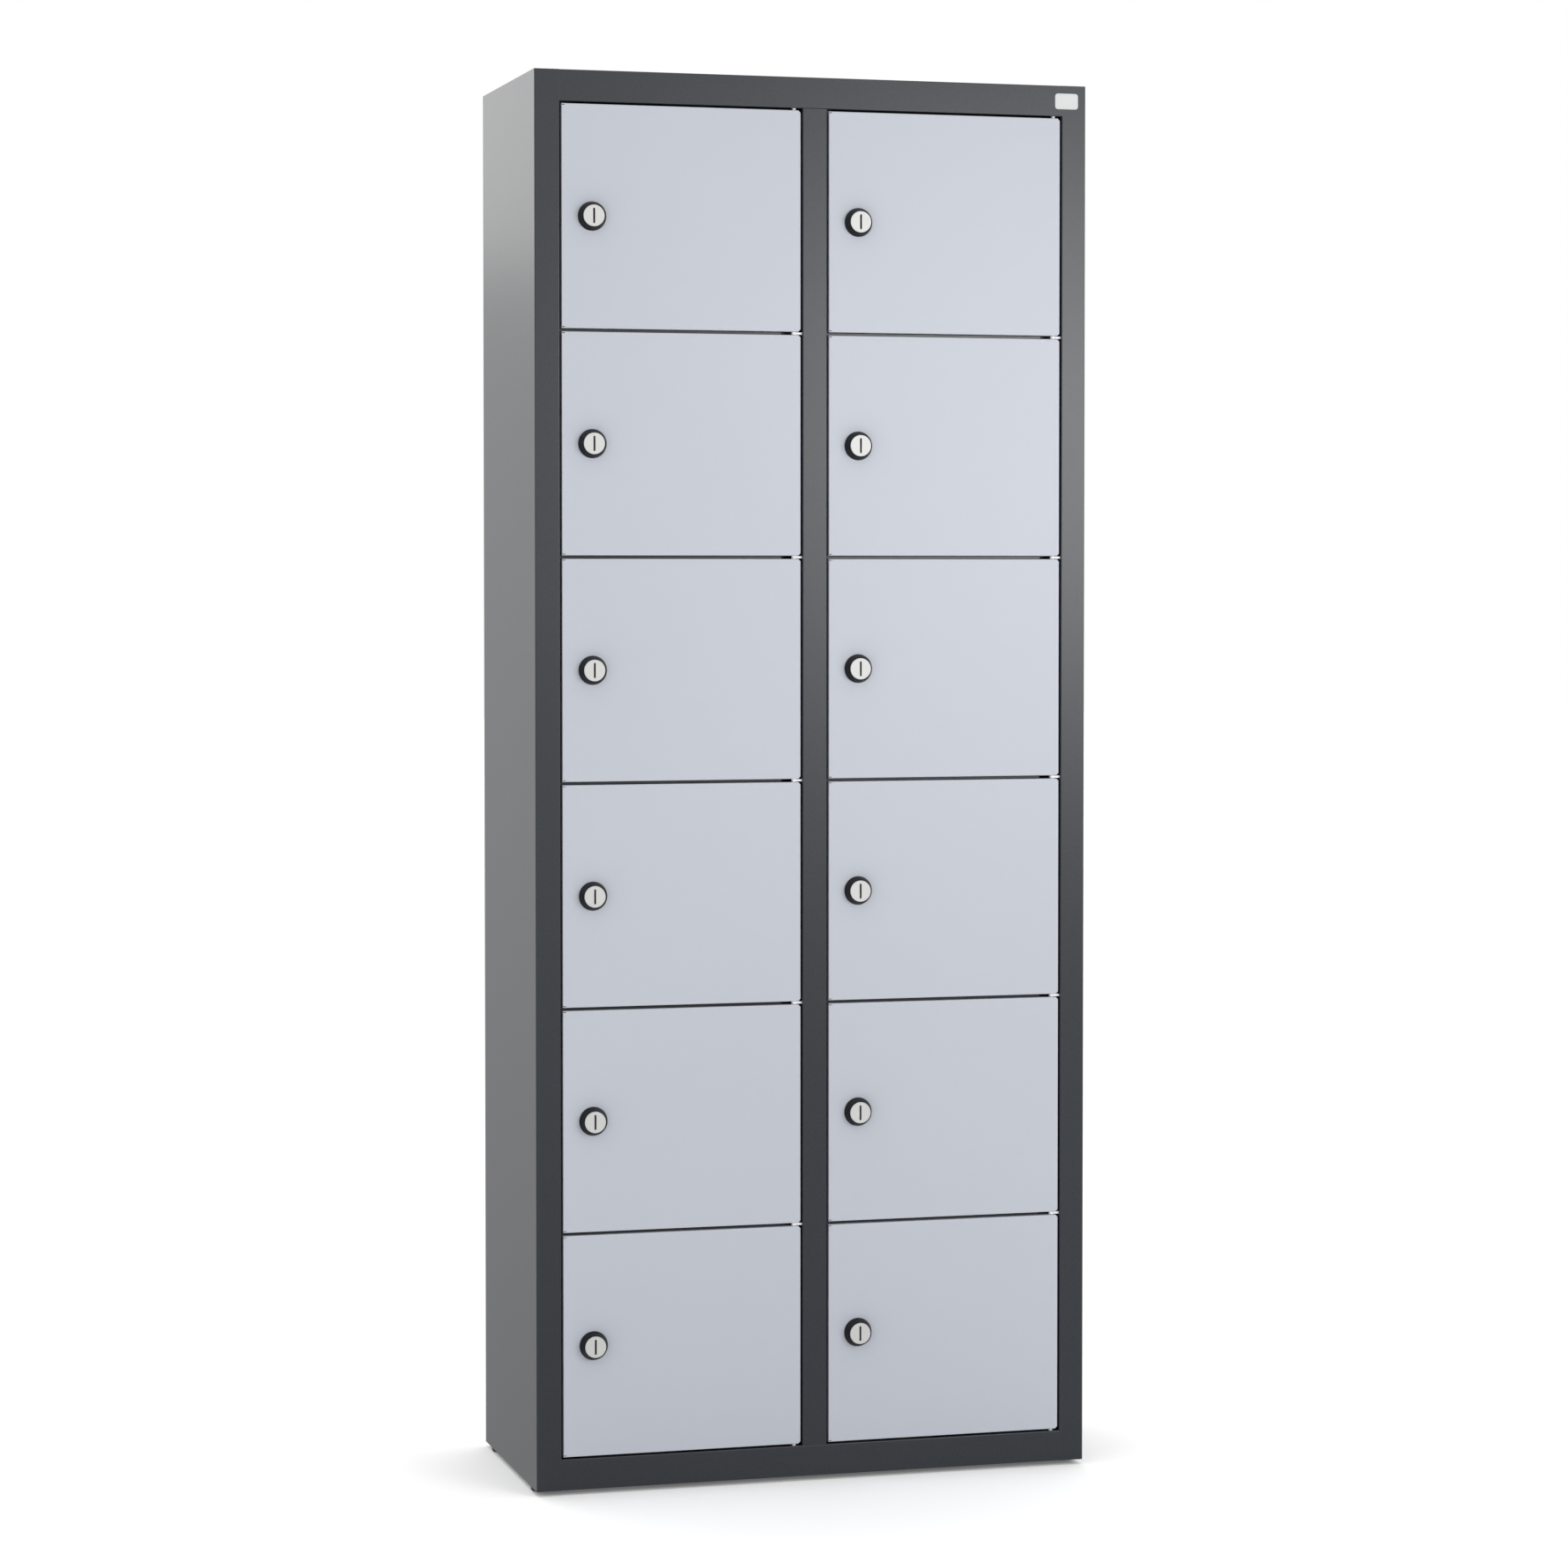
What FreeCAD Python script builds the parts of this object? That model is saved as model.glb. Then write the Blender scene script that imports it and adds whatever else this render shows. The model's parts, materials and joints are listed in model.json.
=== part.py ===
import FreeCAD, Part
import os
import re
import Sketcher
from FreeCAD import Placement, Rotation, Vector

# A free-standing steel parcel locker: two columns of six compartments, each with its own
# hinged door and cam lock. Millimetres. +X runs along the front to the right, +Y into the
# locker and +Z up. The origin is on the floor, at the middle of the whole footprint.

COLUMNS = 2
ROWS = 6
FOOT_CORNERS = {
    "front_left": (-1, 0),
    "front_right": (1, 0),
    "back_left": (-1, 1),
    "back_right": (1, 1),
}
FASTENER_SIDES = 6

# name, millimetres
DRIVING_SIZES = (
    # the steel body
    ("body_width", 795),
    ("body_height", 1950),
    ("body_depth", 350),
    ("sheet", 1.0),
    ("bend_radius", 1.2),
    ("stile_width", 35),
    ("post_width", 35),
    ("rail_height", 43),
    ("stop_lip", 12),
    ("stop_gap", 2),
    ("back_return", 15),
    ("post_seam", 0.2),
    ("wall_hole_width", 8.5),
    ("wall_holes_across", 560),
    ("wall_holes_up", 1560),
    # the shelves
    ("nose_setback", 10),
    ("hem_depth", 10),
    ("hem_clearance", 0.75),
    ("shelf_flange", 15),
    ("shelf_clearance", 0.5),
    ("nose_clearance", 14),
    # the doors and their gaps
    ("side_gap", 3),
    ("end_gap", 3),
    ("row_gap", 4.5),
    ("door_sheet", 1.0),
    ("door_depth", 18),
    ("door_hem", 12),
    ("hinge_corner", 3.2),
    ("relief_length", 4.2),
    ("relief_width", 1.0),
    ("relief_depth", 3),
    ("relief_from_edge", 1.4),
    # the hinges
    ("pivot_inset", 8),
    ("swing_clearance", 0.4),
    ("pin_width", 4),
    ("pin_reach", 8),
    ("pin_play", 0.08),
    ("bracket_play", 0.3),
    ("bracket_eye_wall", 1.5),
    ("bracket_arm_depth", 5),
    ("bracket_arm_height", 3),
    ("bracket_tail", 6),
    ("slot_clearance", 0.1),
    ("bush_wall", 1.5),
    ("bush_head", 1),
    ("bush_collar_wall", 0.6),
    # the rubber door buffers
    ("buffer_width", 8),
    ("buffer_clearance", 0.4),
    ("buffer_from_lip_edge", 1),
    ("buffer_from_edge", 40),
    # the cam locks
    ("lock_inset", 42.4),
    ("lock_height", 13.5),
    ("collar_flare", 3.5),
    ("rim_wall", 1.42),
    ("sleeve_wall", 2.92),
    ("sleeve_clearance", 0.2),
    ("disc_width", 30),
    ("disc_height", 6.4),
    ("disc_recess", 0.3),
    ("barrel_width", 16),
    ("turning_play", 0.08),
    ("end_play", 0.3),
    ("key_slot_length", 21),
    ("key_slot_width", 2.6),
    ("key_slot_depth", 5),
    ("nut_wall", 4),
    ("nut_height", 5),
    ("thread_clearance", 0.05),
    ("cam_gap", 1.0),
    ("cam_thickness", 2),
    ("cam_from_edge", 3.4),
    ("cam_width", 18),
    ("cam_tip_width", 12),
    ("tail_width", 8),
    ("screw_head_width", 14),
    ("screw_head_height", 2.5),
    ("screw_shank_width", 4),
    ("screw_length", 10),
    # the levelling feet
    ("foot_pad_width", 28),
    ("foot_pad_height", 6.6),
    ("foot_pad_foot_bevel", 2),
    ("foot_pad_top_bevel", 1),
    ("foot_gap", 0.4),
    ("insert_from_wall", 4),
    ("foot_inset_y", 42),
    ("foot_stem_width", 10),
    ("foot_stem_length", 28),
    ("foot_socket", 3),
    ("foot_hole_width", 12),
    ("insert_width", 20),
    ("insert_height", 12),
    # the blank name plate
    ("plate_width", 34),
    ("plate_height", 22),
    ("plate_thickness", 0.8),
    ("plate_corner", 4),
    ("plate_from_side", 28.5),
    ("plate_from_top", 22),
)

# name, formula in the names above and in the names before it
DERIVED_SIZES = (
    ("frame_return", "door_depth + stop_gap"),
    ("front_y", "(lock_height - body_depth) / 2"),
    ("base_z", "foot_pad_height + foot_gap"),
    ("top_z", "base_z + body_height"),
    ("lip_y", "frame_return + sheet"),
    ("opening_width", "(body_width - 2 * stile_width - post_width) / 2"),
    ("opening_height", "body_height - 2 * rail_height"),
    ("door_width", "opening_width - 2 * side_gap"),
    ("door_height", "(opening_height - 2 * end_gap - %d * row_gap) / %d" % (ROWS - 1, ROWS)),
    ("pitch", "door_height + row_gap"),
    ("column_step", "opening_width + post_width"),
    ("first_opening_x", "stile_width - body_width / 2"),
    ("first_pivot_x", "first_opening_x + side_gap + door_width - pivot_inset"),
    # the door's front corner swings past the stile with the swing clearance
    ("corner_swing", "pivot_inset + side_gap - swing_clearance"),
    ("pivot_setback", "sqrt(corner_swing * corner_swing - pivot_inset * pivot_inset)"),
    ("pivot_y", "front_y + pivot_setback"),
    ("lowest_door_z", "base_z + rail_height + end_gap"),
    ("lock_x", "lock_inset + pivot_inset - door_width"),
    ("lowest_gap_z", "lowest_door_z + door_height + row_gap / 2"),
    ("bracket_height", "row_gap - 2 * bracket_play"),
    ("bush_height", "end_gap - bracket_play"),
    ("bracket_eye_width", "pin_width + 2 * bracket_eye_wall"),
    ("bush_stem_width", "pin_width + 2 * bush_wall"),
    ("buffer_height", "stop_gap - buffer_clearance"),
    ("sleeve_width", "barrel_width + 2 * (turning_play + sleeve_wall)"),
    ("collar_rim_width", "disc_width + 2 * (turning_play + rim_wall)"),
    ("collar_base_width", "collar_rim_width + 2 * collar_flare"),
    ("nut_across", "sleeve_width + 2 * nut_wall"),
    ("cam_front", "lip_y + cam_gap"),
    ("cam_reach", "lock_inset + side_gap - cam_from_edge"),
    ("sleeve_end", "frame_return"),
    ("hem_thickness", "row_gap - 2 * hem_clearance"),
    ("shelf_front", "lip_y + sheet + shelf_clearance"),
    ("shelf_back", "body_depth - 3 * sheet - shelf_clearance"),
    ("eye_edge", "opening_width - side_gap - pivot_inset - bracket_eye_width / 2"),
    ("nose_end", "eye_edge - nose_clearance"),
    ("foot_inset_x", "sheet + insert_from_wall + insert_width / 2"),
)

doc = FreeCAD.newDocument("ParcelLocker")
sizes = doc.addObject("Spreadsheet::Sheet", "Sizes")
derived = doc.addObject("Spreadsheet::Sheet", "Derived")
SHEET_OF = {name: "Sizes" for name, _ in DRIVING_SIZES}
SHEET_OF.update({name: "Derived" for name, _ in DERIVED_SIZES})


def full(expression):
    """The expression with its sheet's name in front of each size."""
    return re.sub(r"[a-z_]+\b(?!\()", lambda m: in_sheet(m.group(0)), str(expression))


def in_sheet(word):
    return SHEET_OF[word] + "." + word if word in SHEET_OF else word


def fill_sheets():
    """Write the driving sizes as plain numbers and the derived ones as formulas."""
    for number, (name, millimetres) in enumerate(DRIVING_SIZES, start=1):
        sizes.set("A%d" % number, name)
        sizes.set("B%d" % number, str(millimetres))
        sizes.setAlias("B%d" % number, name)
    doc.recompute()
    for number, (name, formula) in enumerate(DERIVED_SIZES, start=1):
        derived.set("A%d" % number, name)
        derived.set("B%d" % number, "=" + full(formula))
        derived.setAlias("B%d" % number, name)
    doc.recompute()


def value(expression):
    """The number that an expression gives now."""
    result = sizes.evalExpression(full(expression))
    return float(getattr(result, "Value", result))


def new_body(name):
    return doc.addObject("PartDesign::Body", name)


def plane_of(body, role):
    return next(item for item in body.Origin.OriginFeatures if item.Role == role)


def new_sketch(body, name, role, offset="0"):
    """A sketch on one of the body's own planes, moved along the plane's normal by offset."""
    sketch = body.newObject("Sketcher::SketchObject", name)
    sketch.AttachmentSupport = (plane_of(body, role), [""])
    sketch.MapMode = "FlatFace"
    sketch.setExpression("AttachmentOffset.Base.z", full(offset))
    return sketch


def hold_point(sketch, geometry, end, place):
    """Tie a point of the sketch to a place given by two expressions."""
    axes = (("DistanceX", -2, place[0]), ("DistanceY", -1, place[1]))
    for kind, axis, expression in axes:
        if abs(value(expression)) < 1e-9:
            sketch.addConstraint(Sketcher.Constraint("PointOnObject", geometry, end, axis))
            continue
        held = Sketcher.Constraint(kind, -1, 1, geometry, end, value(expression))
        sketch.setExpression("Constraints[%d]" % sketch.addConstraint(held), full(expression))


def draw_outline(sketch, points):
    """A closed outline of straight lines through points given as pairs of expressions."""
    first = sketch.GeometryCount
    count = len(points)
    for here, there in zip(points, points[1:] + points[:1]):
        start = Vector(value(here[0]), value(here[1]), 0)
        finish = Vector(value(there[0]), value(there[1]), 0)
        sketch.addGeometry(Part.LineSegment(start, finish), False)
    for index in range(count):
        joined = (first + index, 2, first + (index + 1) % count, 1)
        sketch.addConstraint(Sketcher.Constraint("Coincident", *joined))
    for index, place in enumerate(points):
        hold_point(sketch, first + index, 1, place)


def draw_box(sketch, low, high):
    """A rectangle from its low corner to its high corner."""
    draw_outline(sketch, box_points(*low, *high))


def draw_circle(sketch, centre, width):
    middle = Vector(value(centre[0]), value(centre[1]), 0)
    round_line = Part.Circle(middle, Vector(0, 0, 1), value(width) / 2)
    circle = sketch.addGeometry(round_line, False)
    hold_point(sketch, circle, 3, centre)
    sized = Sketcher.Constraint("Diameter", circle, value(width))
    sketch.setExpression("Constraints[%d]" % sketch.addConstraint(sized), full(width))


def pad(body, sketch, length, reverse=False):
    feature = body.newObject("PartDesign::Pad", sketch.Name + "_pad")
    feature.Profile = sketch
    feature.Reversed = reverse
    feature.setExpression("Length", full(length))
    return feature


def pocket(body, sketch, length, reverse=False):
    feature = body.newObject("PartDesign::Pocket", sketch.Name + "_cut")
    feature.Profile = sketch
    feature.Reversed = reverse
    feature.setExpression("Length", full(length))
    return feature


def row_pattern(body, feature, count, step):
    """Repeat a feature upwards, count times, with the given step."""
    pattern = body.newObject("PartDesign::LinearPattern", feature.Name + "_rows")
    pattern.Originals = [feature]
    up = next(item for item in body.Origin.OriginFeatures if item.Role == "Z_Axis")
    pattern.Direction = (up, [""])
    pattern.setExpression("Length", full("%d * %s" % (count - 1, step)))
    pattern.Occurrences = count
    body.Tip = pattern


def turned(body, name, points):
    """A solid turned about the Y axis from a half outline of (radius, y) points."""
    sketch = new_sketch(body, name, "XY_Plane")
    draw_outline(sketch, points)
    feature = body.newObject("PartDesign::Revolution", name + "_turned")
    feature.Profile = sketch
    feature.ReferenceAxis = (sketch, ["V_Axis"])
    feature.Angle = 360
    return feature


def turned_upright(body, name, points):
    """A solid turned about the Z axis from a half outline of (radius, z) points."""
    sketch = new_sketch(body, name, "XZ_Plane")
    draw_outline(sketch, points)
    feature = body.newObject("PartDesign::Revolution", name + "_turned")
    feature.Profile = sketch
    feature.ReferenceAxis = (sketch, ["V_Axis"])
    feature.Angle = 360
    return feature


def round_edges(body, radius, wanted):
    """Round those edges of the body so far for which wanted(edge) is true."""
    doc.recompute()
    base = body.Tip
    names = ["Edge%d" % n for n, edge in enumerate(base.Shape.Edges, start=1) if wanted(edge)]
    rounding = body.newObject("PartDesign::Fillet", body.Name + "_bends")
    rounding.Base = (base, names)
    rounding.setExpression("Radius", full(radius))
    return rounding


def lies_along(edge, axis, places):
    """Whether an edge runs along the axis through one of the places across it."""
    start, finish = edge.Vertexes[0].Point, edge.Vertexes[-1].Point
    across = [index for index in range(3) if index != axis]
    straight = all(abs(start[index] - finish[index]) < 1e-6 for index in across)
    near = (max(abs(start[index] - spot) for index, spot in zip(across, place)) for place in places)
    return straight and min(near) < 1e-4


def placed(name, pieces, x="0", y="0", z="0"):
    """One or more finished pieces, copied together to a place."""
    copy = doc.addObject("Part::Compound", name)
    copy.Label = name
    copy.Links = pieces
    for axis, expression in zip("xyz", (x, y, z)):
        copy.setExpression("Placement.Base." + axis, full(expression))
    return copy


def together(name, copies):
    """Several placed copies as one sub-part."""
    group = doc.addObject("Part::Compound", name)
    group.Label = name
    group.Links = copies
    return group


def inward(side, points):
    """Points counted inward from a wall, for the left (-1) or the right (1) wall."""
    return [("%d * (%s)" % (-side, x), y) for x, y in points]


def box_points(low_x, low_y, high_x, high_y):
    return [(low_x, low_y), (high_x, low_y), (high_x, high_y), (low_x, high_y)]


def pivot_x(column):
    return "first_pivot_x + %d * column_step" % column


def opening_x(column):
    return "first_opening_x + %d * column_step" % column


def door_z(row):
    """The lower edge of a row's doors, where row 1 is the top one."""
    return "lowest_door_z + %d * pitch" % (ROWS - row)


def gap_z(level):
    """The middle of the gap under a row's doors."""
    return "lowest_gap_z + %d * pitch" % (ROWS - 1 - level)


def bracket_slots(body, x, own_z):
    """Slots in a folded edge of the frame, one in each gap between rows.

    The fold's outer face is at x, and own_z is the height of the body's own origin.
    """
    slots = new_sketch(body, body.Name + "_slots", "YZ_Plane", x)
    half_arm = "(bracket_arm_depth / 2 + slot_clearance)"
    half_slot = "(bracket_arm_height / 2 + slot_clearance)"
    middle = "(lowest_gap_z - (%s))" % own_z
    low = ("pivot_setback - " + half_arm, middle + " - " + half_slot)
    high = ("pivot_setback + " + half_arm, middle + " + " + half_slot)
    draw_box(slots, low, high)
    cut = pocket(body, slots, "sheet", reverse=True)
    row_pattern(body, cut, ROWS - 1, "pitch")


def side_sheet(name, side, with_lip):
    """A wall with its stile, the stile's inner fold and a back return.

    Side is -1 for the left wall and 1 for the right one. The fold stops short of the top and
    bottom sheets, and the stop lip, on the lock side of a column, runs between the rails.
    Beside the rails, the stile's bend is filled with weld and ground flush.
    """
    body = new_body(name)
    section = new_sketch(body, name + "_section", "XY_Plane")
    points = [
        ("0", "0"),
        ("stile_width", "0"),
        ("stile_width", "sheet"),
        ("sheet", "sheet"),
        ("sheet", "body_depth - sheet"),
        ("back_return", "body_depth - sheet"),
        ("back_return", "body_depth"),
        ("0", "body_depth"),
    ]
    draw_outline(section, inward(side, points))
    pad(body, section, "body_height")
    fold = new_sketch(body, name + "_fold", "XY_Plane", "sheet")
    draw_outline(fold, inward(side, box_points("stile_width - sheet", "sheet", "stile_width", "lip_y")))
    pad(body, fold, "body_height - 2 * sheet")
    if with_lip:
        lip = new_sketch(body, name + "_lip", "XY_Plane", "rail_height")
        lip_end = "stile_width + stop_lip"
        lip_box = box_points("stile_width - sheet", "frame_return", lip_end, "lip_y")
        draw_outline(lip, inward(side, lip_box))
        pad(body, lip, "opening_height")
    folds = [(0, 0), (-side * value("stile_width"), 0), (0, value("body_depth"))]
    round_edges(body, "bend_radius", lambda edge: lies_along(edge, 2, folds))
    for end, z in (("lower", "sheet"), ("upper", "body_height - rail_height")):
        weld = new_sketch(body, "%s_%s_weld" % (name, end), "XY_Plane", z)
        weld_box = box_points("stile_width - bend_radius", "0", "stile_width", "bend_radius")
        draw_outline(weld, inward(side, weld_box))
        pad(body, weld, "rail_height - sheet")
    return body


def left_side_panel():
    body = side_sheet("left_side_sheet", -1, True)
    return placed("left_side_panel", [body], "-body_width / 2", "front_y", "base_z")


def right_side_panel():
    """The right wall is slotted for the hinge brackets of the right-hand column."""
    body = side_sheet("right_side_sheet", 1, False)
    bracket_slots(body, "-1 * stile_width", "base_z")
    return placed("right_side_panel", [body], "body_width / 2", "front_y", "base_z")


def centre_post():
    """The folded strip between the two columns of doors."""
    body = new_body("post_sheet")
    section = new_sketch(body, "post_section", "XY_Plane")
    half = "post_width / 2"
    points = [
        ("-%s" % half, "0"),
        (half, "0"),
        (half, "frame_return"),
        (half + " + stop_lip", "frame_return"),
        (half + " + stop_lip", "lip_y"),
        (half + " - sheet", "lip_y"),
        (half + " - sheet", "sheet"),
        ("sheet - " + half, "sheet"),
        ("sheet - " + half, "lip_y"),
        ("-%s" % half, "lip_y"),
    ]
    draw_outline(section, points)
    pad(body, section, "opening_height - 2 * post_seam")
    folds = [(value(half), 0), (-value(half), 0)]
    round_edges(body, "bend_radius", lambda edge: lies_along(edge, 2, folds))
    own_z = "base_z + rail_height + post_seam"
    bracket_slots(body, "-%s" % half, own_z)
    return placed("centre_post", [body], "0", "front_y", own_z)


def end_panel(name, up, z):
    """The top or bottom of the body: sheet, front rail with its fold, and back return."""
    body = new_body(name + "_sheet")
    side = "%d * " % up
    inner_half = "(body_width / 2 - stile_width)"
    rail = new_sketch(body, name + "_rail", "YZ_Plane", "-1 * " + inner_half)
    points = [
        ("0", "0"),
        ("body_depth", "0"),
        ("body_depth", side + "back_return"),
        ("body_depth - sheet", side + "back_return"),
        ("body_depth - sheet", side + "sheet"),
        ("sheet", side + "sheet"),
        ("sheet", side + "(rail_height - sheet)"),
        ("frame_return", side + "(rail_height - sheet)"),
        ("frame_return", side + "rail_height"),
        ("0", side + "rail_height"),
    ]
    draw_outline(rail, points)
    pad(body, rail, "2 * " + inner_half)
    cover = new_sketch(body, name + "_cover", "XY_Plane")
    inner_side = "(body_width / 2 - sheet)"
    corner = (inner_side, "body_depth - sheet")
    draw_box(cover, ("-1 * " + inner_side, "sheet"), corner)
    pad(body, cover, "sheet", reverse=up < 0)
    folds = [(0, 0), (0, up * value("rail_height")), (value("body_depth"), 0)]
    round_edges(body, "bend_radius", lambda edge: lies_along(edge, 0, folds))
    bushes = new_sketch(body, name + "_bush_holes", "XY_Plane", side + "(rail_height - sheet)")
    for column in range(COLUMNS):
        draw_circle(bushes, (pivot_x(column), "pivot_setback"), "bush_stem_width")
    pocket(body, bushes, "sheet", reverse=up > 0)
    if up > 0:
        holes = new_sketch(body, name + "_foot_holes", "XY_Plane")
        for across, back in FOOT_CORNERS.values():
            centre = (foot_x(across), "%s - front_y" % foot_y(back))
            draw_circle(holes, centre, "foot_hole_width")
        pocket(body, holes, "sheet", reverse=True)
    return placed(name, [body], "0", "front_y", z)


def back_panel():
    """The flat back sheet, inside the returns of the walls, with four wall-fixing holes."""
    body = new_body("back_sheet")
    outline = new_sketch(body, "back_outline", "XZ_Plane")
    half = "(body_width / 2 - sheet)"
    draw_box(outline, ("-1 * " + half, "sheet"), (half, "body_height - sheet"))
    pad(body, outline, "sheet", reverse=True)
    holes = new_sketch(body, "wall_holes", "XZ_Plane")
    for across in (-1, 1):
        for up in (-1, 1):
            centre = (
                "%d * wall_holes_across / 2" % across,
                "body_height / 2 + %d * wall_holes_up / 2" % up,
            )
            draw_circle(holes, centre, "wall_hole_width")
    pocket(body, holes, "sheet")
    y = "front_y + body_depth - 2 * sheet"
    return placed("back_panel", [body], "0", y, "base_z")


def centre_partition():
    """The wall between the columns, with a flange at the post and one at the back."""
    body = new_body("partition_sheet")
    section = new_sketch(body, "partition_section", "XY_Plane")
    back = "body_depth - 2 * sheet"
    points = [
        ("-sheet / 2", "lip_y"),
        ("post_width / 2", "lip_y"),
        ("post_width / 2", "lip_y + sheet"),
        ("sheet / 2", "lip_y + sheet"),
        ("sheet / 2", back + " - sheet"),
        ("back_return", back + " - sheet"),
        ("back_return", back),
        ("-sheet / 2", back),
    ]
    draw_outline(section, points)
    pad(body, section, "body_height - 2 * sheet")
    return placed("centre_partition", [body], "0", "front_y", "base_z + sheet")


def shelf_sheet(column, with_nose):
    """One compartment's shelf: plate, side flanges and, between doors, a hemmed nose."""
    name = "shelf" if with_nose else "floor"
    body = new_body("%s_sheet_%d" % (name, column + 1))
    last = column == COLUMNS - 1
    left = "(sheet / 2 - post_width / 2)" if column else "(sheet - stile_width)"
    to_wall = "stile_width - sheet" if last else "post_width / 2 - sheet / 2"
    right = "(opening_width + %s)" % to_wall
    plate = new_sketch(body, body.Name + "_plate", "XY_Plane")
    beside_lip = "stop_lip + shelf_clearance"
    before_lip = "frame_return - shelf_clearance"
    rear = [
        (right, "shelf_front"),
        (right, "shelf_back"),
        (left, "shelf_back"),
        (left, "shelf_front"),
    ]
    nose = [
        (beside_lip, "shelf_front"),
        (beside_lip, before_lip),
        ("shelf_clearance", before_lip),
        ("shelf_clearance", "nose_setback"),
        ("nose_end", "nose_setback"),
        ("nose_end", "shelf_front"),
    ]
    draw_outline(plate, rear + nose if with_nose else rear)
    pad(body, plate, "sheet", reverse=True)
    if with_nose:
        hem = new_sketch(body, body.Name + "_hem", "XY_Plane")
        draw_box(
            hem,
            ("shelf_clearance", "nose_setback"),
            ("nose_end", "nose_setback + hem_depth"),
        )
        pad(body, hem, "hem_thickness", reverse=True)
    flanges = new_sketch(body, body.Name + "_flanges", "XY_Plane")
    draw_box(flanges, (left, "shelf_front"), (left + " + sheet", "shelf_back"))
    draw_box(flanges, (right + " - sheet", "shelf_front"), (right, "shelf_back"))
    pad(body, flanges, "shelf_flange", reverse=True)
    return body


def shelves():
    """A shelf between each two rows, and the floor of the lowest compartments."""
    made = [shelf_sheet(column, True) for column in range(COLUMNS)]
    floors = [shelf_sheet(column, False) for column in range(COLUMNS)]
    nodes = []
    for level in range(1, ROWS):
        copies = []
        for column, sheet in enumerate(made):
            name = "shelf_%d_in_column_%d" % (level, column + 1)
            z = gap_z(level) + " + hem_thickness / 2"
            copies.append(placed(name, [sheet], opening_x(column), "front_y", z))
        nodes.append(together("shelf_%d" % level, copies))
    copies = []
    for column, sheet in enumerate(floors):
        name = "floor_in_column_%d" % (column + 1)
        z = "base_z + rail_height + sheet"
        copies.append(placed(name, [sheet], opening_x(column), "front_y", z))
    nodes.append(together("floor_shelf", copies))
    return nodes


def is_front_fold(edge):
    """Whether an edge of the door pan is one of the straight folds around its front."""
    front = -value("pivot_setback")
    flat = all(abs(corner.Point.y - front) < 1e-6 for corner in edge.Vertexes)
    return flat and edge.Curve.TypeId == "Part::GeomLine"


def door_sheet():
    """The folded door pan. Its own origin is on the hinge axis, at the door's lower edge."""
    body = new_body("door_sheet")
    front = "pivot_setback"
    left = "pivot_inset - door_width"
    right = "pivot_inset"
    outline = new_sketch(body, "door_outline", "XZ_Plane", front)
    points = [
        (left, "0"),
        (right + " - hinge_corner", "0"),
        (right, "hinge_corner"),
        (right, "door_height - hinge_corner"),
        (right + " - hinge_corner", "door_height"),
        (left, "door_height"),
    ]
    draw_outline(outline, points)
    pad(body, outline, "door_depth", reverse=True)
    behind = "pivot_setback - door_depth + door_sheet"
    hollow = new_sketch(body, "door_hollow", "XZ_Plane", behind)
    # the slanted corner keeps the sheet's thickness when each of its ends moves by this much
    slant = "(hinge_corner - door_sheet * (sqrt(2) - 1) + door_sheet)"
    inside = "door_sheet"
    points = [
        (left + " + " + inside, inside),
        (right + " - " + slant, inside),
        (right + " - " + inside, slant),
        (right + " - " + inside, "door_height - " + slant),
        (right + " - " + slant, "door_height - " + inside),
        (left + " + " + inside, "door_height - " + inside),
    ]
    draw_outline(hollow, points)
    pocket(body, hollow, "door_depth - 2 * door_sheet", reverse=True)
    mouth = new_sketch(body, "door_mouth", "XZ_Plane", "pivot_setback - door_depth")
    draw_box(
        mouth,
        (left + " + door_hem", "door_hem"),
        (right + " - door_hem", "door_height - door_hem"),
    )
    pocket(body, mouth, "door_sheet", reverse=True)
    lock = new_sketch(body, "lock_hole", "XZ_Plane", front)
    draw_circle(lock, ("lock_x", "door_height / 2"), "sleeve_width + 2 * sleeve_clearance")
    pocket(body, lock, "door_sheet")
    round_edges(body, "bend_radius", is_front_fold)
    reliefs = new_sketch(body, "fold_reliefs", "XZ_Plane", front)
    for low in ("relief_from_edge", "door_height - relief_from_edge - relief_width"):
        draw_box(reliefs, (left, low), (left + " + relief_length", low + " + relief_width"))
    pocket(body, reliefs, "relief_depth")
    pins = new_sketch(body, "pin_holes", "XY_Plane")
    draw_circle(pins, ("0", "0"), "pin_width + 2 * pin_play")
    pocket(body, pins, "door_height", reverse=True)
    return body


def lock_housing():
    """The conical collar with the threaded sleeve that goes through the door's front."""
    body = new_body("lock_collar")
    points = [
        ("barrel_width / 2 + turning_play", "sleeve_end"),
        ("sleeve_width / 2", "sleeve_end"),
        ("sleeve_width / 2", "0"),
        ("collar_base_width / 2", "0"),
        ("collar_rim_width / 2", "-1 * lock_height"),
        ("disc_width / 2 + turning_play", "-1 * lock_height"),
        ("disc_width / 2 + turning_play", "disc_height + end_play + disc_recess - lock_height"),
        ("barrel_width / 2 + turning_play", "disc_height + end_play + disc_recess - lock_height"),
    ]
    turned(body, "collar_half", points)
    return body


def lock_nut():
    """The six-sided nut that holds the lock, behind the door's front sheet."""
    body = new_body("lock_nut")
    outline = new_sketch(body, "nut_outline", "XZ_Plane", "-1 * door_sheet")
    corner = "nut_across / sqrt(3)"
    points = [
        ("%s * cos(%ddeg)" % (corner, turn), "%s * sin(%ddeg)" % (corner, turn))
        for turn in range(0, 360, 360 // FASTENER_SIDES)
    ]
    draw_outline(outline, points)
    draw_circle(outline, ("0", "0"), "sleeve_width + 2 * thread_clearance")
    pad(body, outline, "nut_height", reverse=True)
    return body


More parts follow.
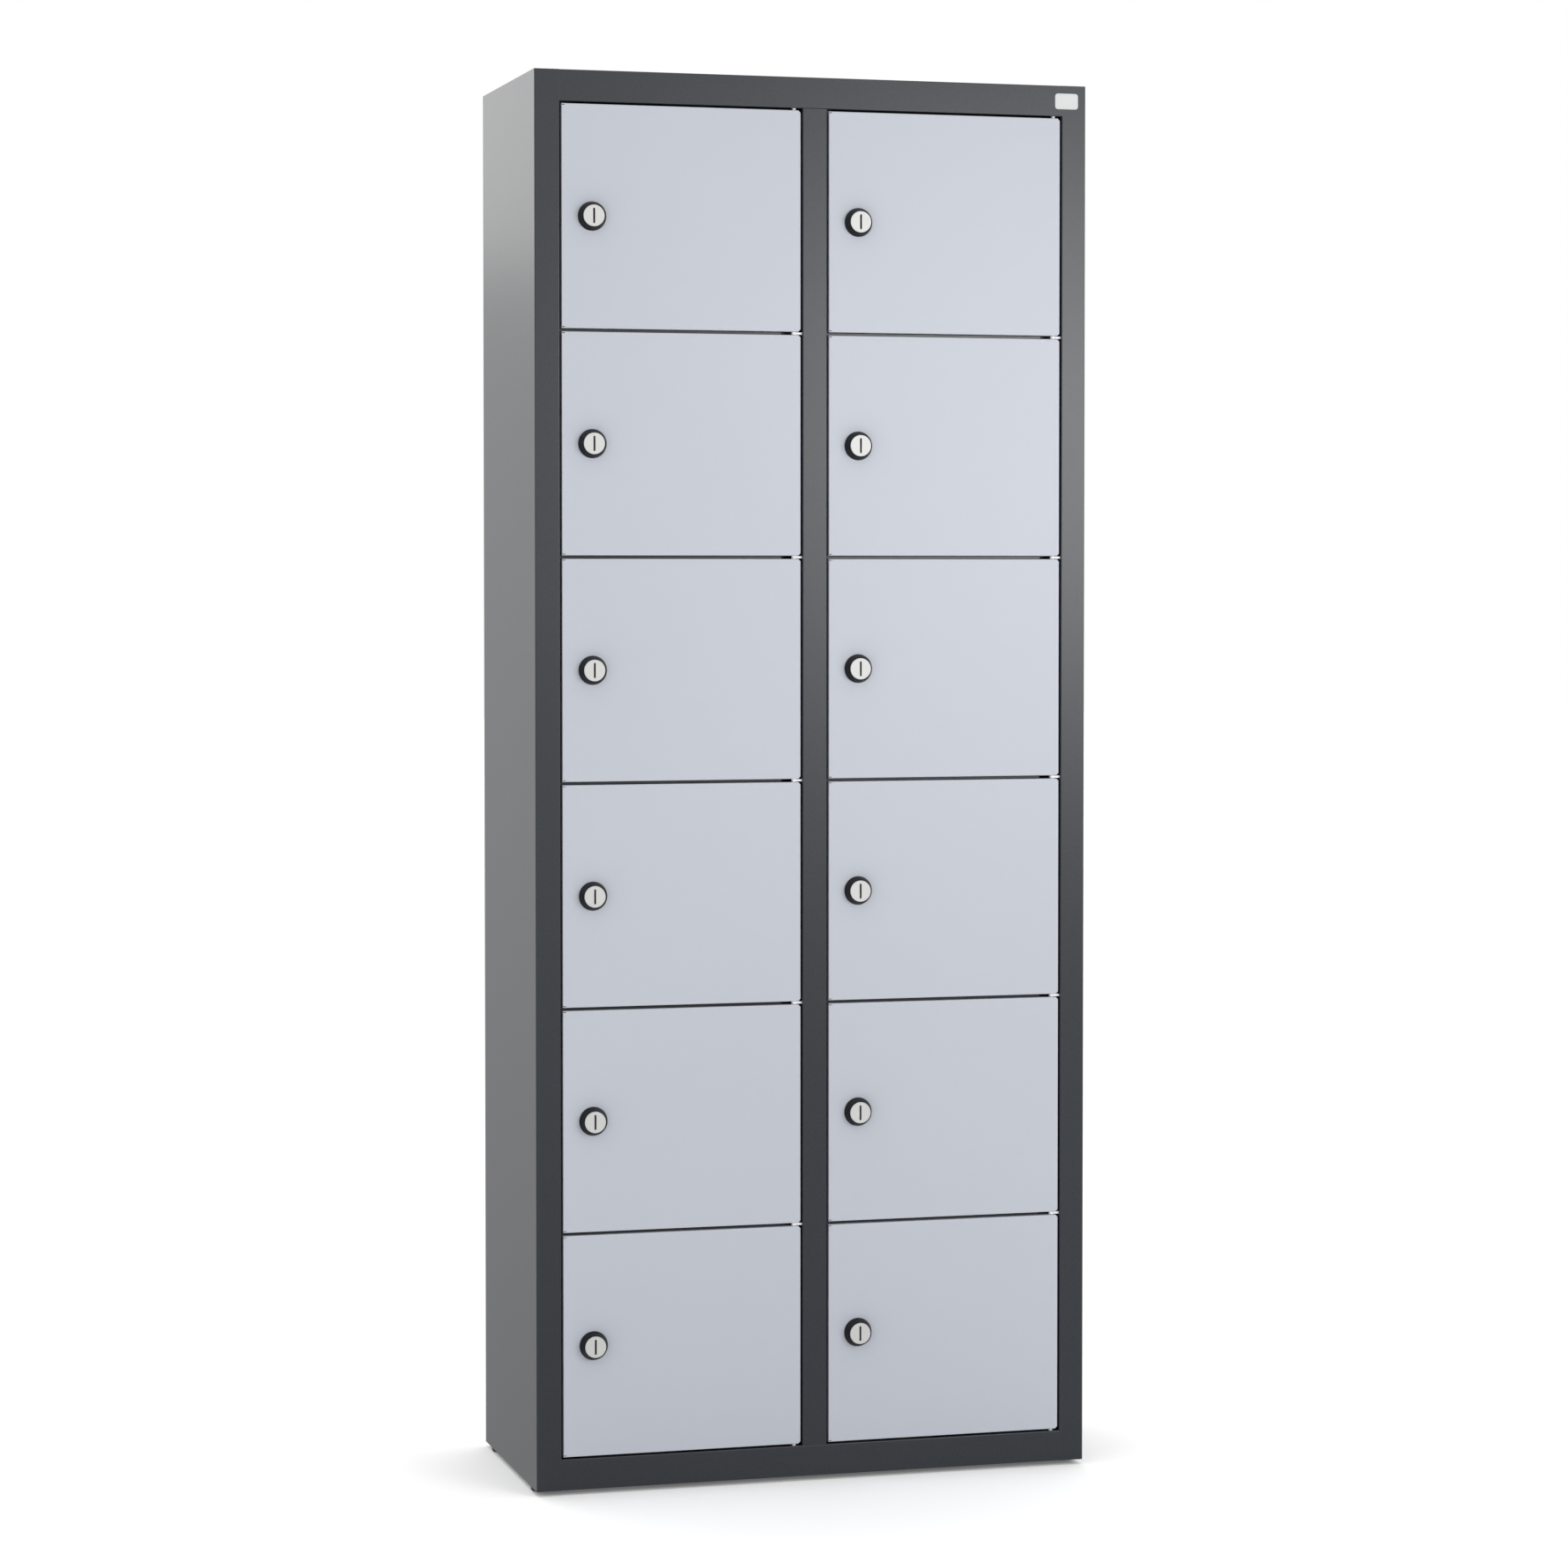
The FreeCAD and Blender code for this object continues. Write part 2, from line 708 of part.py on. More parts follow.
def lock_rotor():
    """The turning cylinder: keyed disc in front, barrel, and a square tail for the cam."""
    body = new_body("lock_rotor")
    face = "(disc_recess - lock_height)"
    points = [
        ("0", face),
        ("disc_width / 2", face),
        ("disc_width / 2", face + " + disc_height"),
        ("barrel_width / 2", face + " + disc_height"),
        ("barrel_width / 2", "cam_front"),
        ("0", "cam_front"),
    ]
    turned(body, "rotor_half", points)
    tail = new_sketch(body, "rotor_tail", "XZ_Plane", "-1 * cam_front")
    half_tail = "tail_width / 2"
    draw_box(tail, ("-" + half_tail, "-" + half_tail), (half_tail, half_tail))
    pad(body, tail, "cam_thickness - end_play", reverse=True)
    slot = new_sketch(body, "key_slot", "XZ_Plane", "-1 * " + face)
    half_slot = ("key_slot_width / 2", "key_slot_length / 2")
    draw_box(slot, ("-" + half_slot[0], "-" + half_slot[1]), half_slot)
    pocket(body, slot, "key_slot_depth")
    bore = new_sketch(body, "screw_bore", "XZ_Plane", "-1 * (cam_front + cam_thickness)")
    draw_circle(bore, ("0", "0"), "screw_shank_width + 2 * thread_clearance")
    pocket(body, bore, "screw_length + end_play", reverse=True)
    return body


def lock_cam():
    """The flat cam, hanging down while unlocked."""
    body = new_body("lock_cam")
    outline = new_sketch(body, "cam_outline", "XZ_Plane", "-1 * cam_front")
    half = "cam_width / 2"
    tip = "cam_tip_width / 2"
    points = [
        ("-" + half, half),
        ("-" + half, "-" + half),
        ("-" + tip, "-1 * cam_reach"),
        (tip, "-1 * cam_reach"),
        (half, "-" + half),
        (half, half),
    ]
    draw_outline(outline, points)
    hole = "(tail_width / 2 + thread_clearance)"
    draw_box(outline, ("-1 * " + hole, "-1 * " + hole), (hole, hole))
    pad(body, outline, "cam_thickness", reverse=True)
    return body


def cam_screw():
    """The screw that clamps the cam to the rotor."""
    body = new_body("cam_screw")
    seat = "cam_front + cam_thickness"
    points = [
        ("0", seat + " - screw_length"),
        ("screw_shank_width / 2", seat + " - screw_length"),
        ("screw_shank_width / 2", seat),
        ("screw_head_width / 2", seat),
        ("screw_head_width / 2", seat + " + screw_head_height"),
        ("0", seat + " + screw_head_height"),
    ]
    turned(body, "screw_half", points)
    return body


def doors_and_locks():
    """Each door with its lock's fixed and turning parts, all the same."""
    pan = door_sheet()
    fixed = [lock_housing(), lock_nut()]
    turning = [lock_rotor(), lock_cam(), cam_screw()]
    nodes = []
    for column in range(COLUMNS):
        for row in range(1, ROWS + 1):
            name = "door_%s%d" % ("AB"[column], row)
            x, z = pivot_x(column), door_z(row)
            nodes.append(placed(name, [pan], x, "pivot_y", z))
            lock_place = (x + " + lock_x", "front_y", z + " + door_height / 2")
            nodes.append(placed(name + "_lock_housing", fixed, *lock_place))
            nodes.append(placed(name + "_lock_cylinder", turning, *lock_place))
    return nodes


def hinge_bracket():
    """The flat nylon arm, from the eye on the hinge axis through the frame's folded edge."""
    body = new_body("bracket")
    outline = new_sketch(body, "bracket_arm", "XY_Plane", "-1 * bracket_arm_height / 2")
    half = "bracket_arm_depth / 2"
    reach = "pivot_inset + side_gap + bracket_tail"
    draw_box(outline, ("0", "-" + half), (reach, half))
    pad(body, outline, "bracket_arm_height")
    eye = new_sketch(body, "bracket_eye", "XY_Plane", "-1 * bracket_height / 2")
    draw_circle(eye, ("0", "0"), "bracket_eye_width")
    pad(body, eye, "bracket_height")
    hole = new_sketch(body, "bracket_pin_hole", "XY_Plane", "-1 * bracket_height / 2")
    draw_circle(hole, ("0", "0"), "pin_width")
    pocket(body, hole, "bracket_height", reverse=True)
    return body


def hinge_bush(up):
    """A nylon bush, headed inside the top or bottom rail's fold, with a collar in the gap."""
    body = new_body("bush_up" if up > 0 else "bush_down")
    side = "%d * " % up
    inner, stem = "pin_width / 2", "bush_stem_width / 2"
    head, collar = stem + " + bush_head", inner + " + bush_collar_wall"
    points = [
        (inner, side + "(-1 * sheet - bush_head)"),
        (head, side + "(-1 * sheet - bush_head)"),
        (head, side + "(-1 * sheet)"),
        (stem, side + "(-1 * sheet)"),
        (stem, "0"),
        (collar, "0"),
        (collar, side + "bush_height"),
        (inner, side + "bush_height"),
    ]
    turned_upright(body, body.Name + "_half", points)
    return body


def hinge_pin(name, low, high):
    body = new_body(name)
    circle = new_sketch(body, name + "_round", "XY_Plane", low)
    draw_circle(circle, ("0", "0"), "pin_width")
    pad(body, circle, "%s - (%s)" % (high, low))
    return body


def hinges():
    """Brackets and pins in each gap between rows, bushes and pins at both ends."""
    bracket = hinge_bracket()
    bushes = {1: hinge_bush(1), -1: hinge_bush(-1)}
    long_pin = hinge_pin("long_pin", "-(row_gap / 2 + pin_reach)", "(row_gap / 2 + pin_reach)")
    short_pins = {
        1: hinge_pin("lower_pin", "-1 * (sheet + bush_head)", "(end_gap + pin_reach)"),
        -1: hinge_pin("upper_pin", "-(end_gap + pin_reach)", "(sheet + bush_head)"),
    }
    ends = {1: "base_z + rail_height", -1: "top_z - rail_height"}
    bracket_copies, bush_copies, pin_copies = [], [], []
    for column in range(COLUMNS):
        x = pivot_x(column)
        for level in range(1, ROWS):
            spot = "_%d_%d" % (column + 1, level)
            place = (x, "pivot_y", gap_z(level))
            bracket_copies.append(placed("bracket" + spot, [bracket], *place))
            pin_copies.append(placed("pin" + spot, [long_pin], *place))
        for up, z in ends.items():
            spot = "_%d_%s" % (column + 1, "bottom" if up > 0 else "top")
            bush_copies.append(placed("bush" + spot, [bushes[up]], x, "pivot_y", z))
            pin_copies.append(placed("pin" + spot, [short_pins[up]], x, "pivot_y", z))
    return [
        together("hinge_brackets", bracket_copies),
        together("hinge_bushes", bush_copies),
        together("hinge_pins", pin_copies),
    ]


def door_buffers():
    """Rubber buffers on the stop lip, two behind each door."""
    body = new_body("buffer")
    circle = new_sketch(body, "buffer_round", "XZ_Plane", "-1 * frame_return")
    draw_circle(circle, ("stop_lip - buffer_from_lip_edge - buffer_width / 2", "0"), "buffer_width")
    pad(body, circle, "buffer_height")
    copies = []
    for column in range(COLUMNS):
        for row in range(1, ROWS + 1):
            heights = {"low": "buffer_from_edge", "high": "door_height - buffer_from_edge"}
            for end, height in heights.items():
                name = "buffer_%d_%d_%s" % (column + 1, row, end)
                z = "%s + %s" % (door_z(row), height)
                copies.append(placed(name, [body], opening_x(column), "front_y", z))
    return together("door_buffers", copies)


def foot_x(across):
    return "%d * (body_width / 2 - foot_inset_x)" % across


def foot_y(back):
    if back:
        return "(front_y + body_depth - foot_inset_y)"
    return "(front_y + foot_inset_y)"


def foot_pad():
    """The round plastic pad, with a socket for its stem."""
    body = new_body("foot_pad")
    half, socket = "foot_pad_width / 2", "foot_stem_width / 2 + thread_clearance"
    floor = "(foot_pad_height - foot_socket)"
    points = [
        ("0", "0"),
        (half + " - foot_pad_foot_bevel", "0"),
        (half, "foot_pad_foot_bevel"),
        (half, "foot_pad_height - foot_pad_top_bevel"),
        (half + " - foot_pad_top_bevel", "foot_pad_height"),
        (socket, "foot_pad_height"),
        (socket, floor),
        ("0", floor),
    ]
    turned_upright(body, "foot_pad_half", points)
    return body


def foot_stem():
    """The threaded stem, screwed up through the insert in the base."""
    body = new_body("foot_stem")
    floor = "(foot_pad_height - foot_socket)"
    circle = new_sketch(body, "foot_stem_round", "XY_Plane", floor)
    draw_circle(circle, ("0", "0"), "foot_stem_width")
    pad(body, circle, "foot_socket + foot_gap + sheet + foot_stem_length")
    return body


def foot_insert():
    """The threaded insert on the base sheet that a foot's stem runs in."""
    body = new_body("foot_insert")
    outline = new_sketch(body, "foot_insert_round", "XY_Plane")
    draw_circle(outline, ("0", "0"), "insert_width")
    draw_circle(outline, ("0", "0"), "foot_stem_width + 2 * turning_play")
    pad(body, outline, "insert_height")
    return body


def feet():
    """Four levelling feet, screwed fully in, and the inserts that they run in."""
    pieces = [foot_pad(), foot_stem()]
    insert = foot_insert()
    nodes = []
    insert_copies = []
    for corner, (across, back) in FOOT_CORNERS.items():
        x, y = foot_x(across), foot_y(back)
        nodes.append(placed("foot_" + corner, pieces, x, y))
        copy = placed("insert_" + corner, [insert], x, y, "base_z + sheet")
        insert_copies.append(copy)
    nodes.append(together("foot_inserts", insert_copies))
    return nodes


def name_plate():
    """A blank plate at the upper right corner of the frame."""
    body = new_body("plate_sheet")
    outline = new_sketch(body, "plate_outline", "XZ_Plane")
    half_width, half_height = "plate_width / 2", "plate_height / 2"
    draw_box(outline, ("-" + half_width, "-" + half_height), (half_width, half_height))
    pad(body, outline, "plate_thickness")
    corner_places = [
        (across * value(half_width), up * value(half_height)) for across in (-1, 1) for up in (-1, 1)
    ]
    round_edges(body, "plate_corner", lambda edge: lies_along(edge, 1, corner_places))
    x, z = "body_width / 2 - plate_from_side", "top_z - plate_from_top"
    return placed("name_plate", [body], x, "front_y", z)


def check_document():
    """Stop if any object of the document failed."""
    for item in doc.Objects:
        if "Invalid" in item.State or "Error" in item.State:
            raise RuntimeError("%s is %s" % (item.Name, item.State))


def write_steps(nodes):
    os.makedirs("parts", exist_ok=True)
    for node in nodes:
        if node.Shape.isNull() or not node.Shape.isValid() or not node.Shape.Solids:
            raise RuntimeError(node.Label + " has no valid solid")
    for node in nodes:
        node.Shape.exportStep("parts/%s.step" % node.Label)


def main():
    fill_sheets()
    nodes = [
        left_side_panel(),
        right_side_panel(),
        end_panel("top_panel", -1, "top_z"),
        end_panel("bottom_panel", 1, "base_z"),
        back_panel(),
        centre_partition(),
        centre_post(),
    ]
    nodes += shelves()
    nodes += doors_and_locks()
    nodes += hinges()
    nodes.append(door_buffers())
    nodes += feet()
    nodes.append(name_plate())
    doc.recompute()
    check_document()
    write_steps(nodes)
    print(len(nodes), "sub-parts")


main()
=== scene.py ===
import json
import math

import bpy
from bpy.props import FloatProperty, FloatVectorProperty, IntProperty, PointerProperty
from mathutils import Matrix, Vector

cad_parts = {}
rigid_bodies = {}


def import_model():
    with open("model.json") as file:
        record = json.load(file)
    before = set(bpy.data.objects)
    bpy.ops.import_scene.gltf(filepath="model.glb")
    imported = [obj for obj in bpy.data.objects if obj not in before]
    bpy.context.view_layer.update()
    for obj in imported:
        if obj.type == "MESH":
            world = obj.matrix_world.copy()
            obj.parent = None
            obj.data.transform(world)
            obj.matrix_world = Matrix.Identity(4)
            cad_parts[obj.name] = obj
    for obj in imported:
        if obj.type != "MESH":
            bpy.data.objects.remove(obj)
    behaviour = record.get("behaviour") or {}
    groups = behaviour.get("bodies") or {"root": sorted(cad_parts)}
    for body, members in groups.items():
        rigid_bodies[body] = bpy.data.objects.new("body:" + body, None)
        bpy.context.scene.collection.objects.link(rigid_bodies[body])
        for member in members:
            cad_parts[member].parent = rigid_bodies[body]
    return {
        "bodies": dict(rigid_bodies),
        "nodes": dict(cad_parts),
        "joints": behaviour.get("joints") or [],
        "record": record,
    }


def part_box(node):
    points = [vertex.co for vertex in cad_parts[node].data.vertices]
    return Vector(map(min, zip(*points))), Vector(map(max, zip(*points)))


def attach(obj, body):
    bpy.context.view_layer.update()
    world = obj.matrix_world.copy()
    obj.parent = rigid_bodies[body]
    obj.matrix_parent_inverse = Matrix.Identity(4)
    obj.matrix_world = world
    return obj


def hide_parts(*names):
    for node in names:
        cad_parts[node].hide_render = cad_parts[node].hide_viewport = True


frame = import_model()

bl_info = {
    "name": "Parcel Locker Finish",
    "version": (1, 0, 0),
    "blender": (4, 5, 0),
    "location": "View3D > Sidebar > Locker",
    "description": "Models the locks, hinges, feet and finishes of a steel parcel locker on its CAD frame",
    "category": "Object",
}

DOORS = [name for name in frame["bodies"] if name.startswith("door_") and not name.endswith("_lock")]
FEET = [name for name in frame["bodies"] if name.startswith("foot_")]
JOINTS = {joint["name"]: joint for joint in frame["joints"]}
CABINET = "cabinet"
MILLIMETRE = 0.001
# Profiles of turned parts, as shares of the radius and of the height above the seat.
SCREW_PROFILE = ((0, 0), (1, 0), (1, 0.25), (0.65, 0.35), (0.6, 0.8), (0.5, 1), (0, 1))
BUFFER_PROFILE = ((0, 1), (1, 1), (1, 0.5), (0.8, 0.12), (0.4, 0), (0, 0))
# Parts of a direction between which the surroundings change: low, high and rear.
LOW_SKY = (-0.3, 0.1)
HIGH_SKY = (0.1, 0.9)
REAR_SKY = (0.3, 0.8)
FLOOR_SIZE = 60.0
# Name, place, what it faces, width and height, and the setting with its radiance.
SOFT_BOXES = (
    ("key_box", (1.8, -3.4, 1.6), (0.0, -0.2, 1.4), (1.9, 1.0), "key"),
    ("fill_box", (-3.2, -3.0, 2.0), (0.0, 0.0, 1.0), (2.2, 2.4), "fill"),
    ("rear_box", (-1.5, 3.5, 2.95), (-0.4, 0.0, 1.8), (2.4, 2.0), "rear"),
)


# ---------------- sizes and colours


def length(name, description, millimetres):
    return FloatProperty(
        name=name, description=description, default=millimetres * MILLIMETRE,
        min=0.0, precision=5, unit="LENGTH", subtype="DISTANCE",
    )


def sides(description, default):
    return IntProperty(name="Steps", description=description, default=default, min=8)


def amount(name, description, default):
    return FloatProperty(name=name, description=description, default=default)


def colour(name, description, rgb):
    return FloatVectorProperty(
        name=name, description=description, subtype="COLOR", size=3, min=0.0, max=1.0, default=rgb
    )


class LockSizes(bpy.types.PropertyGroup):
    """Sizes of the cam locks, measured from the door's front face along the lock's axis."""

    rim: length("Rim", "Flat front rim of the collar around the disc", 0.9)
    rim_round: length("Rim rounding", "Rounding of the collar's moulded edges", 0.45)
    base_edge: length("Base", "Height of the straight edge where the cone meets the door", 0.8)
    bore_play: length("Bore play", "Play between the disc and the collar's bore", 0.1)
    bore_depth: length("Bore depth", "Depth of the collar's bore behind its rim", 7.0)
    sleeve: length("Sleeve", "Outer radius of the threaded sleeve", 11.0)
    sleeve_bore: length("Sleeve bore", "Radius of the hole through the sleeve", 8.1)
    nut: length("Nut", "Distance from the axis to a flat of the nut", 15.0)
    nut_height: length("Nut height", "Height of the nut", 5.0)
    sheet: length("Sheet", "Thickness of the door's sheet", 1.0)
    disc_dish: length("Dish", "How far the disc's face stands behind the rim", 0.25)
    disc_height: length("Disc height", "Height of the disc behind its face", 6.1)
    disc_edge: length("Disc edge", "Chamfer around the disc's face", 0.4)
    barrel: length("Barrel", "Radius of the barrel behind the disc", 8.0)
    slot_width: length("Key slot width", "Width of the key slot", 2.6)
    slot_length: length("Key slot length", "Length of the key slot", 21.0)
    slot_depth: length("Key slot depth", "Depth of the key slot", 5.0)
    cam_root: length("Cam root", "Half the width of the cam at the lock's axis", 9.0)
    cam_tip: length("Cam tip", "Half the width of the cam at its tip", 6.0)
    cam_sheet: length("Cam sheet", "Thickness of the cam", 2.0)
    screw_head: length("Screw head", "Radius of the cam screw's washer face", 7.0)
    screw_height: length("Screw height", "Height of the cam screw's head", 2.5)
    screw_socket: length("Screw socket", "Radius of the cam screw's hexagon socket", 1.7)
    socket_floor: length("Socket floor", "Height of the socket's floor over the cam", 1.0)
    thread_pitch: length("Thread pitch", "Pitch of the sleeve's thread", 1.5)
    thread_depth: length("Thread depth", "Depth of the sleeve's thread", 0.6)
    steps: sides("Sides of the round parts", 64)


class HingeSizes(bpy.types.PropertyGroup):
    """Sizes of the nylon hinge parts and their pins."""

    edge: length("Edge", "Rounding of the nylon edges", 0.35)
    play: length("Play", "Gap between a bracket and the doors above and below it", 0.3)
    arm_depth: length("Arm depth", "Half the depth of a bracket's arm", 2.5)
    arm_height: length("Arm height", "Half the height of a bracket's arm", 1.5)
    pin: length("Pin", "Radius of a hinge pin", 2.0)
    pin_reach: length("Pin reach", "How far a pin reaches into a door", 8.0)
    pin_tip: length("Pin tip", "Chamfer on both ends of a pin", 0.6)
    stem: length("Bush stem", "Radius of a bush in the rail's sheet", 3.5)
    collar: length("Bush collar", "Radius of a bush's collar in the gap", 2.6)
    end_gap: length("End gap", "Gap between the rails and the end doors", 3.0)
    sheet: length("Sheet", "Thickness of the rail's sheet and of the bush's head", 1.0)
    steps: sides("Sides of the round parts", 32)


class FootSizes(bpy.types.PropertyGroup):
    """Sizes of the levelling feet."""

    grip_count: IntProperty(name="Grips", description="Grip flutes around the pad", default=24, min=6)
    grip_depth: length("Grip depth", "Depth of a grip flute", 0.5)
    pad_height: length("Pad height", "Height of the pad", 6.6)
    lower_edge: length("Lower edge", "Chamfer under the pad", 2.0)
    upper_edge: length("Upper edge", "Chamfer on the pad", 1.2)
    stem: length("Stem", "Radius of the threaded stem", 5.0)
    thread_pitch: length("Thread pitch", "Pitch of the stem's thread", 1.5)
    thread_depth: length("Thread depth", "Depth of the stem's thread", 0.7)
    grip_steps: IntProperty(name="Grip steps", description="Sides of each flute", default=4, min=4)
    steps: sides("Sides of the stem", 32)


class SmallSizes(bpy.types.PropertyGroup):
    """Sizes of the door buffers and the name plate."""

    buffer: length("Buffer", "Radius of a buffer", 4.0)
    buffer_inset: length("Buffer inset", "Distance of a buffer from its door's end", 40.0)
    buffer_steps: sides("Sides of a buffer", 24)
    plate_corner: length("Plate corner", "Radius of the plate's corners", 4.0)
    plate_rim: length("Plate rim", "Width of the plate's raised rim", 1.2)
    plate_sink: length("Plate sink", "How far the plate's face lies behind its rim", 0.3)


class FinishColours(bpy.types.PropertyGroup):
    """Colours of the paints, metals and plastics."""

    frame_paint: colour("Frame paint", "Anthracite powder coat of the body", (0.0285, 0.0325, 0.039))
    door_paint: colour("Door paint", "Light blue-grey powder coat of the doors", (0.445, 0.468, 0.520))
    black_plastic: colour("Black plastic", "Lock collars", (0.006, 0.007, 0.009))
    lock_nickel: colour("Lock nickel", "Satin nickel of the lock discs", (0.57, 0.57, 0.56))
    # Near-black for the key slots' walls and floor: painted shade in the recess.
    slot_painted_shade: colour("Slot", "The dark inside of the key slots", (0.006, 0.006, 0.006))
    zinc: colour("Zinc", "Zinc plate of cams, nuts, pins and inserts", (0.62, 0.63, 0.63))
    nylon: colour("Nylon", "Natural white nylon of the hinges", (0.93, 0.94, 0.95))
    rubber: colour("Rubber", "Door buffers", (0.02, 0.02, 0.021))
    foot_plastic: colour("Foot plastic", "Pads of the levelling feet", (0.014, 0.014, 0.015))
    plate: colour("Plate", "The blank name plate", (0.56, 0.57, 0.57))
    floor: colour("Floor", "The studio floor", (0.94, 0.94, 0.94))


class StageSettings(bpy.types.PropertyGroup):
    """The camera and the studio light."""

    camera_place: FloatVectorProperty(
        name="Camera", description="Where the camera stands", subtype="TRANSLATION", size=3,
        default=(-1.5952, -5.6973, 1.2703),
    )
    camera_turn: FloatProperty(
        name="Turn", description="Turn of the view to the right", subtype="ANGLE",
        default=math.radians(15.666),
    )
    camera_tilt: FloatProperty(
        name="Tilt", description="Tilt of the view below level", subtype="ANGLE",
        default=math.radians(1.834),
    )
    lens: FloatProperty(name="Lens", description="Focal length", default=94.917, unit="CAMERA")
    shift: amount("Shift", "Vertical lens shift", -0.05)
    low: amount("Low", "Strength of the surroundings below", 0.2)
    level: amount("Level", "Strength at the horizon", 0.45)
    high: amount("High", "Strength of the surroundings above", 1.1)
    key: amount("Key", "Radiance of the box at the right front", 7.5)
    fill: amount("Fill", "Radiance of the box at the left front", 0.6)
    rear: amount("Rear", "Radiance of the box behind on the left", 0.75)
    back: amount("Back", "Share of light added from behind", 1.25)
    glow: amount("Glow", "Light given off by the floor", 0.12)


# ---------------- mesh helpers


def begin(name, place=(0, 0, 0)):
    """Add a plane at a place, shrink it to one point and stay in edit mode."""
    if bpy.context.object and bpy.context.object.mode != "OBJECT":
        bpy.ops.object.mode_set(mode="OBJECT")
    bpy.ops.object.select_all(action="DESELECT")
    bpy.ops.mesh.primitive_plane_add(size=MILLIMETRE, location=place)
    piece = bpy.context.object
    piece.name = name
    piece.data.name = name
    bpy.ops.object.transform_apply(location=True, rotation=True, scale=True)
    bpy.ops.object.mode_set(mode="EDIT")
    bpy.ops.mesh.select_all(action="SELECT")
    bpy.ops.mesh.merge(type="CENTER")
    return piece


def trace(points):
    """Extrude the selected point along a line of points, given from the first one on."""
    for here, there in zip(points, points[1:]):
        step = Vector(there) - Vector(here)
        bpy.ops.mesh.extrude_region_move(TRANSFORM_OT_translate={"value": step})


def end_edit():
    """Merge doubles, point the faces outwards and leave edit mode."""
    bpy.ops.mesh.select_all(action="SELECT")
    bpy.ops.mesh.remove_doubles(threshold=1e-6)
    bpy.ops.mesh.normals_make_consistent(inside=False)
    bpy.ops.object.mode_set(mode="OBJECT")


def lathe(name, outline, axis, steps):
    """A solid of revolution about an axis through the origin from (radius, along) points.

    The outline is closed: it ends on its first point, or starts and ends on the axis.
    """
    along = Vector(axis)
    across = Vector((1, 0, 0))
    points = [across * radius + along * height for radius, height in outline]
    piece = begin(name, points[0])
    trace(points)
    bpy.ops.mesh.select_all(action="SELECT")
    bpy.ops.mesh.spin(
        steps=steps, angle=math.tau, center=(0, 0, 0), axis=along, use_auto_merge=True
    )
    end_edit()
    return piece


def prism(name, outline, axis, low, high):
    """A straight solid over a closed outline of points, from low to high along an axis."""
    along = Vector(axis)
    points = [Vector(point) + along * low for point in outline]
    piece = begin(name, points[0])
    trace(points)
    bpy.ops.mesh.select_all(action="SELECT")
    bpy.ops.mesh.edge_face_add()
    bpy.ops.mesh.extrude_region_move(TRANSFORM_OT_translate={"value": along * (high - low)})
    end_edit()
    return piece


def pick(piece):
    """Select only this piece and make it the active one."""
    bpy.ops.object.select_all(action="DESELECT")
    piece.select_set(True)
    bpy.context.view_layer.objects.active = piece


def apply_modifier(piece, kind, **values):
    """Add a modifier with its values and apply it."""
    pick(piece)
    modifier = piece.modifiers.new(kind.title(), kind)
    for key, setting in values.items():
        setattr(modifier, key, setting)
    bpy.ops.object.modifier_apply(modifier=modifier.name)


def soften(piece, width, segments=2, angle=40):
    """Round the edges of a piece that turn by more than an angle in degrees."""
    apply_modifier(
        piece, "BEVEL", width=width, segments=segments, limit_method="ANGLE",
        angle_limit=math.radians(angle), use_clamp_overlap=True,
    )


def smooth(piece, angle=30):
    """Shade a piece smooth across edges that turn by less than an angle in degrees."""
    pick(piece)
    bpy.ops.object.shade_smooth_by_angle(angle=math.radians(angle))
    apply_modifier(piece, "WEIGHTED_NORMAL", keep_sharp=True)


def combine(piece, other, operation="DIFFERENCE"):
    """Cut a piece with another one, or unite them, and remove the other one.

    Faces made by the other piece keep its material.
    """
    apply_modifier(
        piece, "BOOLEAN", object=other, operation=operation, solver="EXACT",
        material_mode="TRANSFER",
    )
    bpy.data.objects.remove(other)


def join(pieces, name):
    """Join several pieces into one object."""
    bpy.ops.object.select_all(action="DESELECT")
    for piece in pieces:
        piece.select_set(True)
    bpy.context.view_layer.objects.active = pieces[0]
    bpy.ops.object.join()
    pieces[0].name = name
    pieces[0].data.name = name
    return pieces[0]


def face_map(piece, across, up):
    """A UV map of the piece seen along its third axis, in metres about its own origin."""
    layer = piece.data.uv_layers.new(name="face")
    for loop in piece.data.loops:
        spot = piece.data.vertices[loop.vertex_index].co
        layer.data[loop.index].uv = (spot[across], spot[up])


def copy_to(master, name, place):
    """A copy of a finished piece with its own mesh, moved in its mesh to a place."""
    copy = master.copy()
    copy.data = master.data.copy()
    copy.name = name
    copy.data.name = name
    copy.data.transform(Matrix.Translation(place))
    bpy.context.scene.collection.objects.link(copy)
    return copy


def drop(*masters):
    for master in masters:
        bpy.data.objects.remove(master)


# ---------------- shader helpers


def add_node(tree, kind, place, **settings):
    made = tree.nodes.new(kind)
    made.location = place
    for key, setting in settings.items():
        setattr(made, key, setting)
    return made


def new_group(name, inputs, outputs):
    """A node group with its sockets, and its input and output nodes.

    An input is a kind and what it holds by itself, or None; an output is a kind.
    """
    group = bpy.data.node_groups.new(name, "ShaderNodeTree")
    new_socket = group.interface.new_socket
    for title, (kind, default) in inputs.items():
        made = new_socket(name=title, in_out="INPUT", socket_type="NodeSocket" + kind)
        if default is not None:
            made.default_value = default
    for title, kind in outputs.items():
        new_socket(name=title, in_out="OUTPUT", socket_type="NodeSocket" + kind)
    given = add_node(group, "NodeGroupInput", (-900, 0))
    out = add_node(group, "NodeGroupOutput", (700, 0))
    return group, given, out


def feed(tree, target, given):
    """Link a socket to an input, or set the input to a plain value."""
    if isinstance(given, bpy.types.NodeSocket):
        tree.links.new(given, target)
    else:
        target.default_value = given


